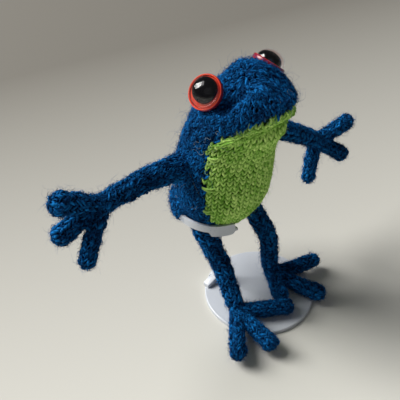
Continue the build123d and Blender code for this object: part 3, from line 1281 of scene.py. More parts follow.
# ---------------------------------------------------------------- body
@dataclass
class KnittedBody:
    """Stuffed body: blue back and head, green throat and belly, and the hairs on them."""

    finishes: Finishes
    knitter: Knitter
    middle_x: float = -6.0
    sections: tuple[tuple[float, float, float, float], ...] = (
        (35.6, 19.8, 6.4, 5.8),
        (36.8, 19.7, 10.4, 9.6),
        (39.4, 19.5, 13.0, 12.2),
        (42.6, 19.1, 14.6, 13.8),
        (46.4, 18.4, 16.6, 15.4),
        (51.0, 17.6, 17.7, 16.4),
        (56.0, 17.1, 18.1, 16.6),
        (61.0, 16.7, 18.0, 16.5),
        (66.0, 16.2, 17.6, 16.2),
        (71.0, 15.4, 17.0, 15.8),
        (76.0, 14.0, 16.2, 15.6),
        (81.0, 11.9, 15.7, 15.8),
        (86.0, 9.2, 15.7, 16.3),
        (90.6, 7.2, 15.8, 16.2),
        (94.8, 6.2, 15.3, 15.2),
        (98.4, 6.2, 13.6, 13.0),
        (101.2, 6.8, 10.8, 9.8),
        (102.9, 7.6, 7.2, 6.2),
        (103.6, 8.0, 3.0, 2.6),
    )
    seam_y: float = 9.2
    jaw_y: tuple[float, ...] = (-12.0, -8.8, -6.4, -2.3, 4.5, 8.2)
    jaw_z: tuple[float, ...] = (95.6, 95.0, 94.3, 90.2, 83.7, 79.8)
    jaw_wander: float = 0.5
    jaw_corner: tuple[float, float] = (9.4, 79.5)  # y, z of the back end of the line that the curls keep to
    jaw_climb: float = 0.93
    jaw_reach: float = 5.0
    jaw_back: float = 12.0
    head_foot: float = 80.0
    crease_back: tuple[float, float] = (6.7, 78.6)  # y, z of the fold under the throat
    crease_front: tuple[float, float] = (-8.0, 89.2)
    crease_depth: float = 1.5
    crease_width: float = 1.6
    crease_fade: Range = (8.7, 3.7)  # y over which the fold dies out towards the back
    roll_height: float = 0.9
    roll_offset: float = 2.6  # of the roll above the fold
    roll_width: float = 1.6
    crown_drop: float = 9.6
    washer_depth: float = 10.6  # from the eye's rim plane down to the washer inside the head
    washer_room: float = 3.9
    split_height: float = 72.0  # between the two pieces that the blue knitting is made in
    saddle_height: Range = (92.0, 101.0)  # where the crown dips between the eyes
    saddle_depth: Range = (-2.0, 5.0)
    saddle_left: Range = (4.2, -6.8)
    saddle_right: Range = (-17.0, -12.0)
    brow_drop: float = 1.9
    brow_height: Range = (93.0, 99.0)  # where the wool falls away in front of the far eye
    brow_side: Range = (-3.0, 3.0)
    brow_depth: Range = (7.0, -1.0)
    snout_lift: float = 0.7
    snout_middle: float = 98.0  # its height
    snout_widths: tuple[float, float] = (9.0, 3.2)  # sideways and upward
    snout_depth: Range = (2.0, -4.0)
    snout_push: float = 0.8  # forward, as a share of the lift
    chin_tuck: float = 2.6
    chin_middle: float = 90.5
    chin_width: float = 4.2
    chin_depth: Range = (-1.0, -7.0)
    eye_seat_radius: float = 6.3
    eye_seat_depth: float = 1.5
    eye_seat_rise: float = 2.9  # of the wool round the seat
    eye_seat_fade: float = 5.0
    eye_seat_reach: float = 8.0  # how far under the eye the wool is pressed
    clip_centre: tuple[float, float] = (-6.8, 20.4)
    overhang_radius: float = 16.9
    overhang_starts: Range = (88.0, 104.0)  # degrees round the clip's middle
    overhang_ends: Range = (188.0, 166.0)
    overhang_top: Range = (48.0, 45.0)
    overhang_foot: float = 36.6  # its lower edge, which climbs on the frog's right
    overhang_climb: Range = (168.0, 184.0)
    overhang_climb_height: float = 1.5
    roll_reach: float = 0.19
    roll_rows: tuple[float, ...] = (0.9, 1.7, 2.5, 3.3, 4.1)
    join_loops: tuple[tuple[float, float, float], ...] = (  # height, and turns round the body at each end
        (76.0, 0.192, 0.150),
        (62.9, 0.184, 0.132),
        (52.0, 0.174, 0.138),
    )
    join_radius: float = 0.36
    roll_radius: float = 0.46
    yarn_sink: float = 0.55
    green_gauge: Gauge = Gauge(2.45, 2.1, 0.95, 0.55)
    blue_gauge: Gauge = Gauge(2.1, 1.75, 0.9, 1.5)
    swell_cap: float = 0.5
    swell_frames: int = 20
    swell_step: int = 6  # every sixth point of the surface takes part
    swell_pressure: float = 4.0
    swell_scale: float = 0.01  # metres of the simulation for each millimetre
    tufts: HairCoat = HairCoat(2.1, 0.1, 2.6, 0.3, lift=0.75, steps=5, spread=0.3)
    felt: HairCoat = HairCoat(2.5, 0.05, 1.6, 0.8, lift=0.8, steps=4)
    long_hairs: HairCoat = HairCoat(5.4, 0.035, 0.9, 1.0)
    green_tufts: HairCoat = HairCoat(1.8, 0.08, 1.4, 0.2, lift=0.6, steps=4, spread=0.15)
    green_felt: HairCoat = HairCoat(2.4, 0.04, 1.2, 0.35)
    jaw_curls: HairCoat = HairCoat(6.5, 0.06, 1.0, 0.15, lift=0.8, steps=12)
    flank_curls: HairCoat = HairCoat(6.0, 0.06, 1.1, 0.15, lift=0.8, steps=12)

    def is_green(self, points: Array) -> Array:
        """Test which points lie in the green panel.

        Args:
            points: Points, one a row.

        Returns:
            True where the panel is.
        """
        x, y, z = points[:, 0], points[:, 1], points[:, 2]
        jaw = np.interp(y, self.jaw_y, self.jaw_z) + self.jaw_wander * np.sin(x * 1.3 + y * 0.7)
        return (y < self.seam_y + self.jaw_wander * np.sin(z * 0.9)) & (z < jaw)

    def is_blue(self, points: Array) -> Array:
        """Test which points lie outside the green panel."""
        return ~self.is_green(points)

    def shape(self) -> TorsoSurface:
        """Fit the body's surface, with the fold under the throat.

        Returns:
            The surface.
        """
        surface = TorsoSurface(self.middle_x, self.sections)
        grid = surface.grid
        slope = (self.crease_front[1] - self.crease_back[1]) / (self.crease_front[0] - self.crease_back[0])
        line = self.crease_back[1] + (grid[..., 1] - self.crease_back[0]) * slope
        off = grid[..., 2] - line
        fade = np.interp(-grid[..., 1], [-self.crease_fade[0], -self.crease_fade[1]], [0.0, 1.0])
        dent = bump(off, 0.0, self.crease_width) * self.crease_depth
        roll = bump(off, self.roll_offset, self.roll_width) * self.roll_height
        grid = grid + surface.normals * ((roll - dent) * fade)[..., None]
        x, y, z = grid[..., 0] - self.middle_x, grid[..., 1], grid[..., 2]
        saddle = ramp(z, self.saddle_height) * ramp(y, self.saddle_depth)
        saddle = saddle * ramp(x, self.saddle_left) * ramp(x, self.saddle_right)
        brow = ramp(z, self.brow_height) * ramp(x, self.brow_side) * ramp(y, self.brow_depth)
        snout = bump(z, self.snout_middle, self.snout_widths[1]) * bump(x, 0.0, self.snout_widths[0])
        snout = snout * ramp(y, self.snout_depth)
        tuck = self.chin_tuck * bump(z, self.chin_middle, self.chin_width) * ramp(y, self.chin_depth)
        grid = grid + np.stack(
            [
                np.zeros_like(x),
                tuck - self.snout_push * self.snout_lift * snout,
                self.snout_lift * snout - self.crown_drop * saddle - self.brow_drop * brow,
            ],
            -1,
        )
        surface.grid = self._overhang(self._seated(grid))
        surface.refresh()
        return surface

    def _seated(self, grid: Array) -> Array:
        """Press the wool down under the eyes' dishes, and keep it outside their washers.

        Args:
            grid: The body's points.

        Returns:
            The moved points.
        """
        moved = grid.copy()
        outer = self.eye_seat_radius + self.eye_seat_fade
        for side, place in EYE_PLACES.items():
            way = unit(EYE_LEANS[side])
            away = moved - np.array(place)
            height = away @ way
            radius = np.linalg.norm(away - height[..., None] * way, axis=-1)
            limit = self.eye_seat_rise * ramp(radius, (self.eye_seat_radius, outer)) - self.eye_seat_depth
            pressed = (height > -self.eye_seat_reach) & (radius < outer)
            drop = np.where(pressed, np.maximum(height - limit, 0), 0)
            moved = moved - drop[..., None] * way
        for side, place in EYE_PLACES.items():
            away = moved - (np.array(place) - unit(EYE_LEANS[side]) * self.washer_depth)
            far = np.maximum(np.linalg.norm(away, axis=-1, keepdims=True), 0.01)
            moved = moved + away / far * np.maximum(self.washer_room - far, 0)
        return moved

    def _overhang(self, grid: Array) -> Array:
        """Let the wool bulge over the clip's band at the frog's right and back.

        Args:
            grid: The body's points.

        Returns:
            The moved points.
        """
        away = grid[..., :2] - np.array(self.clip_centre)
        radius = np.maximum(np.linalg.norm(away, axis=-1), 0.01)
        turn = np.degrees(np.arctan2(away[..., 1], away[..., 0])) % 360
        share = ramp(turn, self.overhang_starts) * ramp(turn, self.overhang_ends)
        z = grid[..., 2]
        wanted = self.overhang_radius - 0.9 * ((z - 41.5) / 4.0) ** 2
        foot = self.overhang_foot + self.overhang_climb_height * ramp(turn, self.overhang_climb)
        band = ramp(z - foot, (0.0, 1.0)) * ramp(z, self.overhang_top)
        push = np.maximum(wanted - radius, 0) * share * band
        moved = grid.copy()
        moved[..., :2] += away / radius[..., None] * push[..., None]
        return moved

    def swell(self, surface: TorsoSurface) -> None:
        """Puff the body with a short cloth simulation, and keep the small part of it that the cap allows.

        Args:
            surface: The body's surface, changed in place.
        """
        step = self.swell_step
        grid = surface.grid[::step, ::step]
        rows, columns = grid.shape[:2]
        order = np.arange(rows * columns).reshape(rows, columns)
        after = np.roll(order, -1, 1)
        faces = np.stack([order[:-1], after[:-1], after[1:], order[1:]], -1).reshape(-1, 4)
        mesh = bpy.data.meshes.new("body_puff")
        mesh.from_pydata((grid.reshape(-1, 3) * self.swell_scale).tolist(), [], faces.tolist())
        puff = bpy.data.objects.new("body_puff", mesh)
        bpy.context.scene.collection.objects.link(puff)
        cloth = puff.modifiers.new("cloth", "CLOTH")
        cloth.settings.use_pressure = True
        cloth.settings.uniform_pressure_force = self.swell_pressure
        cloth.settings.effector_weights.gravity = 0.0
        cloth.settings.quality = 4
        scene = bpy.context.scene
        for number in range(1, self.swell_frames + 1):
            scene.frame_set(number)
        seen = puff.evaluated_get(bpy.context.evaluated_depsgraph_get()).to_mesh()
        places = np.array([vertex.co[:] for vertex in seen.vertices])
        puffed = places.reshape(rows, columns, 3) / self.swell_scale
        scene.frame_set(1)
        bpy.data.objects.remove(puff)
        push = ((puffed - grid) * surface.normals[::step, ::step]).sum(-1)
        push = np.nan_to_num(push - np.median(push))
        push = np.clip(push, -self.swell_cap, self.swell_cap)
        push[:3], push[-3:] = 0, 0
        turns = np.arange(surface.columns) / step
        low = np.floor(turns).astype(int) % columns
        share = turns - np.floor(turns)
        wide = push[:, low] * (1 - share) + push[:, (low + 1) % columns] * share
        every, kept = np.arange(surface.rows), np.arange(rows) * step
        full = np.stack([np.interp(every, kept, column) for column in wide.T], 1)
        surface.grid = surface.grid + surface.normals * full[..., None]
        surface.refresh()
        log.info("body swell: %.2f to %.2f mm", float(full.min()), float(full.max()))

    def _blue_half(self, sign: int) -> Mask:
        """Make the test for the blue wool on one side of the split.

        Args:
            sign: 1 for the wool above the split, -1 for the wool below it.

        Returns:
            The test.
        """

        def test(points: Array) -> Array:
            """True where the points are blue and on that side."""
            return self.is_blue(points) & (sign * (points[:, 2] - self.split_height) > 0)

        return test

    def build(self) -> list[bpy.types.Object]:
        """Knit the body.

        Returns:
            The body's pieces.
        """
        surface = self.shape()
        self.swell(surface)
        end = surface.length
        inner = MeshBatch()

        def core_slot(middles: Array) -> Array:
            """Number of the backing's material."""
            return self.is_green(middles).astype(int)

        self.knitter.core(inner, surface, 0.0, end, core_slot, self.yarn_sink, 120, 1.0)
        stuffed = inner.build("body_stuffed", [self.finishes.blue_shaded_core, self.finishes.green_shaded_core])
        lower, upper, wisps, fuzz = MeshBatch(), MeshBatch(), MeshBatch(), MeshBatch()
        for batch, sign in ((lower, -1), (upper, 1)):
            self.knitter.stitches(batch, surface, self.blue_gauge, 1.0, end - 0.6, 0, self._blue_half(sign))
        flanks = lower.build("body_blue_knitting_lower", [self.finishes.blue_wool])
        head = upper.build("body_blue_knitting_upper", [self.finishes.blue_wool])
        self.knitter.hairs(wisps, surface, 10500, 4.0, end, 0, self.tufts, self.is_blue)
        tufts = wisps.build("body_blue_tufts", [self.finishes.blue_wool])
        self.knitter.hairs(fuzz, surface, 7600, 4.0, end, 0, self.felt, self.is_blue)
        self.knitter.hairs(fuzz, surface, 2400, 10.0, end, 0, self.long_hairs, self.is_blue)
        felt = fuzz.build("body_blue_fuzz", [self.finishes.blue_fibre])
        green = MeshBatch()
        self.knitter.stitches(green, surface, self.green_gauge, 1.0, end - 1.0, 0, self.is_green)
        self.knitter.hairs(green, surface, 2600, 4.0, end, 0, self.green_tufts, self.is_green)
        self.knitter.hairs(green, surface, 1800, 4.0, end, 1, self.green_felt, self.is_green)
        self._joins(green, surface)
        self._throat_rows(green, surface)
        belly = green.build("body_green_knitting", [self.finishes.green_wool, self.finishes.green_fibre])
        pale = MeshBatch()
        self._curls(pale, surface)
        curls = pale.build("body_pale_curls", [self.finishes.pale_fibre])
        for piece in (stuffed, flanks, head, tufts, felt, belly, curls):
            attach(piece, "torso")
        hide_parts("stuffing")
        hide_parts("knit_back")
        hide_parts("knit_back")
        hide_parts("knit_belly")
        return [stuffed, flanks, head, tufts, felt, belly, curls]

    def _joins(self, batch: MeshBatch, surface: TorsoSurface) -> None:
        """Lay the green joining stitches that run over the side seams into the blue.

        Args:
            batch: Where they go.
            surface: The body's surface.
        """
        heights = surface.grid[:, 0, 2]
        rows = np.linspace(0, surface.length, surface.rows)
        share = np.linspace(0, 1, 14)
        for turn_side in (-1, 1):
            for height, back, front in self.join_loops:
                along = float(np.interp(height, heights, rows))
                turns = turn_side * (back + (front - back) * share)
                wave = np.sin(share * np.pi)
                for drop, tilt in ((0.0, 0.8), (0.9, -0.5)):
                    places = along - drop - 0.4 * wave + tilt * (share - 0.5)
                    line = surface.sample(turns, places, 0.45 + 0.35 * wave)
                    self.knitter.loop(batch, line, self.join_radius, 0, 0.75)

    def _throat_rows(self, batch: MeshBatch, surface: TorsoSurface) -> None:
        """Lay the rows of yarn that run along the roll under the jaw.

        Args:
            batch: Where they go.
            surface: The body's surface.
        """
        turns = np.linspace(-self.roll_reach, self.roll_reach, 90)
        places = np.linspace(surface.length * 0.4, surface.length * 0.75, 160)
        slope = (self.crease_front[1] - self.crease_back[1]) / (self.crease_front[0] - self.crease_back[0])
        grid_turns, grid_places = np.meshgrid(turns, places)
        points = surface.sample(grid_turns, grid_places, np.zeros_like(grid_turns))
        over = points[..., 2] - self.crease_back[1] - (points[..., 1] - self.crease_back[0]) * slope
        for number, offset in enumerate(self.roll_rows):
            along = np.array([np.interp(offset, over[:, column], places) for column in range(len(turns))])
            wobble = 0.16 * np.sin(turns * 150 + number * 2.1)
            wobble = wobble + self.knitter.random.normal(0, 0.05, len(turns))
            line = surface.sample(turns, along + wobble, 0.35 + 0.18 * np.sin(turns * 210 + number))
            shown = self.is_green(line)
            self.knitter.loop(batch, line[shown], self.roll_radius, 0, 0.55 + 0.12 * (number % 2))

    def _curls(self, batch: MeshBatch, surface: TorsoSurface) -> None:
        """Lay a few long pale hairs by the jaw and on the flank.

        Args:
            batch: Where they go.
            surface: The body's surface.
        """

        def by_jaw(points: Array) -> Array:
            """True near the line of the jaw."""
            y, z = points[:, 1], points[:, 2]
            line = self.jaw_corner[1] + (self.jaw_corner[0] - y) * self.jaw_climb
            return (abs(z - line) < self.jaw_reach) & (y < self.jaw_back)

        def on_flank(points: Array) -> Array:
            """True on the blue wool below the head."""
            return self.is_blue(points) & (points[:, 2] < self.head_foot)

        self.knitter.hairs(batch, surface, 150, 20.0, surface.length, 0, self.jaw_curls, by_jaw)
        self.knitter.hairs(batch, surface, 60, 10.0, 60.0, 0, self.flank_curls, on_flank)


# ---------------------------------------------------------------- limbs
@dataclass(frozen=True)
class Digit:
    """Finger or toe: its tip's middle, from the middle of the palm or foot, and its radii."""

    reach: Point
    tip_radius: float


@dataclass(frozen=True)
class Limb:
    """Arm or leg, from its root joint to its digits."""

    name: str
    bodies: tuple[str, str, str]
    joints: tuple[str, str, str]
    nodes: tuple[str, str, str]
    palm: Point
    palm_radius: float
    radii: tuple[float, float, float]
    digit_word: str
    digits: tuple[Digit, ...]
    bow: Point = (0.0, 0.0, 0.0)  # shift of the wool at the elbow or knee
    root_bury: float = 4.0
    digit_root_radius: float = 2.7
    gauge: Gauge = Gauge(2.0, 1.55, 0.8, 1.7)
    sink: float = 0.45
    blend_reach: float = 2.6  # how far from a joint its wool starts to bend
    digit_blend_reach: float = 2.2
    hairs_per_mm: float = 26.0
    tufts: HairCoat = HairCoat(1.8, 0.1, 2.4, 0.3, lift=0.65, steps=5, spread=0.3)
    felt: HairCoat = HairCoat(2.1, 0.045, 1.5, 0.8, lift=0.6, steps=4)
    long_hairs: HairCoat = HairCoat(4.2, 0.032, 1.0, 1.0)

    def joint_point(self, joint: str) -> Array:
        """Place of one of the frame's joints in millimetres.

        Args:
            joint: The joint's name.

        Returns:
            Its place.
        """
        found = next(item for item in frame["joints"] if item["name"] == joint)
        return np.array(found["pos_m"]) / MM

    def build(self, finishes: Finishes, knitter: Knitter) -> list[bpy.types.Object]:
        """Knit the limb, as one piece across each joint.

        Args:
            finishes: The materials.
            knitter: The stitch maker.

        Returns:
            The limb's pieces.
        """
        root, middle, end = (self.joint_point(joint) for joint in self.joints)
        palm = np.array(self.palm)
        start = root - unit(middle - root) * self.root_bury
        corners = np.array([start, root, middle + np.array(self.bow), end, palm])
        line, marks = self._rounded(corners)
        radii = np.interp(
            np.arange(len(line)),
            marks,
            [self.radii[0], self.radii[0], self.radii[1], self.radii[2] * 1.02, self.palm_radius - 0.35],
        )
        radii = radii - self.sink
        surface = CordSurface(line, radii)
        steps = np.concatenate([[0], np.cumsum(np.linalg.norm(np.diff(line, axis=0), axis=1))])
        first, second, third = (float(steps[marks[k]]) for k in (1, 2, 3))
        cuts = [0.0, (first + second) / 2, (second + third) / 2, surface.length]
        pieces = []
        for number in range(3):
            batch = MeshBatch()
            self._knit(batch, knitter, surface, cuts[number], cuts[number + 1])
            piece = batch.build(f"{self.name}_{number + 1}_knitting", self._materials(finishes))
            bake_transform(piece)
            self._declare(self.nodes[number])
            pieces.append(piece)
        for number, digit in enumerate(self.digits, start=1):
            pieces.append(self._digit(number, digit, palm, finishes, knitter))
        return pieces

    def _materials(self, finishes: Finishes) -> list[bpy.types.Material]:
        """The limb's materials in slot order."""
        return [finishes.blue_wool, finishes.blue_shaded_core, finishes.blue_fibre]

    def _declare(self, node: str) -> None:
        """Hide the CAD node that a piece stands in for.

        Args:
            node: The CAD node that it replaces.
        """
        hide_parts(node)

    def _knit(
        self, batch: MeshBatch, knitter: Knitter, surface: CordSurface, start: float, end: float
    ) -> None:
        """Lay backing, stitches and hairs along part of the limb.

        Args:
            batch: Where they go.
            knitter: The stitch maker.
            surface: The limb's surface.
            start: Start along the limb.
            end: End along the limb.
        """
        knitter.core(batch, surface, start, end, 1, 0.35, 18, 1.4)
        rows = max(1, int(round((end - start) / self.gauge.height)))
        gauge = Gauge(self.gauge.width, (end - start) / rows, self.gauge.thickness, self.gauge.unevenness)
        knitter.stitches(batch, surface, gauge, start + gauge.height * 0.3, end - gauge.height * 0.4, 0)
        count = int((end - start) * self.hairs_per_mm)
        knitter.hairs(batch, surface, count, start, end, 0, self.tufts)
        knitter.hairs(batch, surface, count, start, end, 2, self.felt)
        knitter.hairs(batch, surface, count // 5, start, end, 2, self.long_hairs)

    def _digit(
        self, number: int, digit: Digit, palm: Array, finishes: Finishes, knitter: Knitter
    ) -> bpy.types.Object:
        """Knit one finger or toe.

        Args:
            number: Its number.
            digit: Its place and size.
            palm: Middle of the palm or foot.
            finishes: The materials.
            knitter: The stitch maker.

        Returns:
            The piece.
        """
        reach = np.array(digit.reach)
        way = unit(reach)
        share = np.linspace(0, 1, 14)[:, None]
        sway = unit(np.cross(way, UP) + 0.2 * UP) * 0.35 * np.sin(share * np.pi * 1.3)
        line = palm + reach * share + sway * share
        root, tip = self.digit_root_radius, digit.tip_radius
        widths = [root + 0.35, root + 0.1, (root + 2 * tip) / 3, tip]
        radii = np.interp(share[:, 0], [0, 0.3, 0.75, 1.0], widths) - self.sink
        surface = CordSurface(line, radii)
        batch = MeshBatch()
        self._knit(batch, knitter, surface, 0.5, surface.length)
        word = f"{self.digit_word}_{number}"
        piece = batch.build(f"{self.name}_{word}_knitting", self._materials(finishes))
        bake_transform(piece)
        self._declare(f"{self.name}_{word}")
        return piece

    @staticmethod
    def _rounded(corners: Array, fine: int = 16, bend: float = 0.16) -> tuple[Array, list[int]]:
        """Round a line's corners a little.

        Args:
            corners: The line's corners.
            fine: Points in each straight.
            bend: Share of each straight that is given to a bend.

        Returns:
            The line's points, and the number of the point nearest each corner.
        """
        points = [corners[0]]
        for index in range(1, len(corners)):
            for share in np.linspace(0, 1, fine + 1)[1:]:
                points.append(corners[index - 1] * (1 - share) + corners[index] * share)
        line = np.array(points)
        for _ in range(6):
            line[1:-1] = 0.25 * line[:-2] + 0.5 * line[1:-1] + 0.25 * line[2:]
        return line, [fine * index for index in range(len(corners))]


def limb(
    side: str,
    kind: str,
    palm: Point,
    palm_radius: float,
    radii: tuple[float, float, float],
    digits: tuple[Digit, ...],
    bow: Point = (0.0, 0.0, 0.0),
) -> Limb:
    """Fill in a limb's names.

    Args:
        side: right or left.
        kind: arm or leg.
        palm: Middle of the palm or foot.
        palm_radius: Its radius.
        radii: Radii at the three joints.
        digits: The fingers or toes.
        bow: Shift of the wool at the elbow or knee.

    Returns:
        The limb.
    """
    arm = kind == "arm"
    bodies = ("upper_arm", "forearm", "palm") if arm else ("thigh", "shin", "foot")
    joints = ("shoulder", "elbow", "wrist") if arm else ("hip", "knee", "ankle")
    name = f"{side}_{kind}"
    nodes = (f"{name}_upper", f"{name}_lower", f"{name}_palm" if arm else f"{name}_foot")
    return Limb(
        name=name,
        bodies=tuple(f"{side}_{body}" for body in bodies),
        joints=tuple(f"{side}_{joint}" for joint in joints),
        nodes=nodes,
        palm=palm,
        palm_radius=palm_radius,
        radii=radii,
        digit_word="finger" if arm else "toe",
        digits=digits,
        bow=bow,
    )


LIMBS = (
    limb(
        "right",
        "arm",
        (-59.2, 14.4, 73.0),
        3.7,
        (4.9, 4.0, 3.3),
        (Digit((-13.4, 1.8, 6.6), 4.0), Digit((-14.0, 2.7, -6.4), 3.7), Digit((-11.6, -6.4, -12.8), 2.8)),
    ),
    limb(
        "left",
        "arm",
        (39.6, 12.4, 51.6),
        3.5,
        (4.2, 3.7, 3.3),
        (Digit((18.0, 0.0, 0.6), 3.2), Digit((11.4, -4.5, -9.6), 3.1), Digit((-4.2, -1.5, -15.6), 2.6)),
    ),
    limb(
        "right",
        "leg",
        (-16.3, -4.8, 5.4),
        3.4,
        (3.8, 3.7, 3.2),
        (Digit((-13.2, -14.4, 0.0), 3.2), Digit((-1.2, -18.9, 0.0), 3.2), Digit((16.0, -10.8, 0.0), 3.1)),
        (0.7, -0.5, 0.0),
    ),
    limb(
        "left",
        "leg",
        (8.0, 0.2, 5.4),
        3.4,
        (3.7, 3.6, 3.2),
        (Digit((18.0, -5.4, 0.0), 2.9), Digit((6.4, -18.6, 0.0), 3.3), Digit((-5.6, -9.4, 0.0), 3.1)),
    ),
)


# ---------------------------------------------------------------- eyes
@dataclass
class DomedEyes:
    """Pair of domed eyes: red dish with a rolled rim, red ring, black button and clear dome."""

    finishes: Finishes
    middle_x: float = -5.0
    radius: float = 6.0
    back: float = 1.0
    pupil_radius: float = 4.35
    pupil_shift: float = 0.55  # the button sits this much above the dish's middle
    dome_height: float = 5.15

    def _placed(self, piece: bpy.types.Object, side: int) -> bpy.types.Object:
        """Set a piece made round the z axis into one eye's place.

        Args:
            piece: The piece.
            side: 1 for the left eye, -1 for the right.

        Returns:
            The same piece.
        """
        way, origin = unit(EYE_LEANS[side]), np.array(EYE_PLACES[side])
        across = unit(np.cross(UP, way))
        other = np.cross(way, across)
        turned = np.stack([across, other, way])
        return Workbench.placed(piece, lambda points: points @ turned + origin)

    def _cap(self, radius: float, edge: float, top: float, rings: int = 9) -> list[tuple[float, float]]:
        """Rings of a round cap.

        Args:
            radius: Radius at its edge.
            edge: Height of its edge.
            top: Height of its middle.
            rings: How many rings.

        Returns:
            Radius and height of each ring.
        """
        angles = np.linspace(0, np.pi / 2 * 0.985, rings)
        outs, ups = radius * np.cos(angles), edge + (top - edge) * np.sin(angles)
        return [(float(out), float(up)) for out, up in zip(outs, ups)]

    def _paint_wall_shade(self, piece: bpy.types.Object) -> None:
        """Paint shade onto the dishes' outer walls, which face away from the light, with the second, darker
        material.

        Args:
            piece: The dishes.
        """
        for face in piece.data.polygons:
            centre = np.array(face.center) / MM
            side = 1 if centre[0] > self.middle_x else -1
            way = unit(EYE_LEANS[side])
            height = float((centre - np.array(EYE_PLACES[side])) @ way)
            outward = float(np.array(face.normal) @ way)
            # painted shade: low faces that do not face out along the eye's axis take the darker red
            face.material_index = int(height < 0.8 and outward < 0.55)

    def build(self) -> list[bpy.types.Object]:
        """Make the eyes.

        Returns:
            The eyes' pieces.
        """
        outer, pupil = self.radius, self.pupil_radius
        dish = [
            (outer - 0.55, -self.back),
            (outer - 0.12, -self.back + 0.15),
            (outer, -self.back + 0.6),
            (outer, 0.45),
            (outer - 0.12, 0.8),
            (outer - 0.38, 0.92),
            (outer - 0.62, 0.78),
            (outer - 0.7, 0.5),
            (outer - 0.76, 0.3),
            (outer - 0.95, 0.55),
            (pupil - 0.1, 0.9),
            (pupil - 0.6, 0.8),
        ]
        button = [(pupil, 0.2), (pupil, 1.15), *self._cap(pupil - 0.02, 1.3, 4.1)]
        dome = [(outer - 0.78, 0.34), *self._cap(outer - 0.76, 0.5, self.dome_height, 14)]
        pieces = []
        recipes = (
            ("eye_dishes", dish, self.finishes.iris, "eye_cups", "red_plastic"),
            ("eye_buttons", button, self.finishes.pupil, "eye_pupils", "black_plastic"),
            ("eye_domes", dome, self.finishes.dome, "eye_lenses", "clear_dome"),
        )
        for name, profile, material, node, slot_name in recipes:
            pair = [Workbench.turned(f"{name}_{side}", profile) for side in (-1, 1)]
            if name == "eye_buttons":
                shift = np.array([0.0, self.pupil_shift, 0.0])
                pair = [Workbench.placed(each, lambda points: points + shift) for each in pair]
            pair = [self._placed(each, side) for each, side in zip(pair, (-1, 1))]
            piece = Workbench.joined(name, pair)
            Workbench.painted(piece, material)
            if name == "eye_dishes":
                Workbench.painted(piece, material, self.finishes.eye_wall_painted_shade)
                self._paint_wall_shade(piece)
            Workbench.smooth(piece, 50.0)
            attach(piece, "torso")
            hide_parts(node)
            log.info("%s: %d faces", name, len(piece.data.polygons))
            pieces.append(piece)
        return pieces


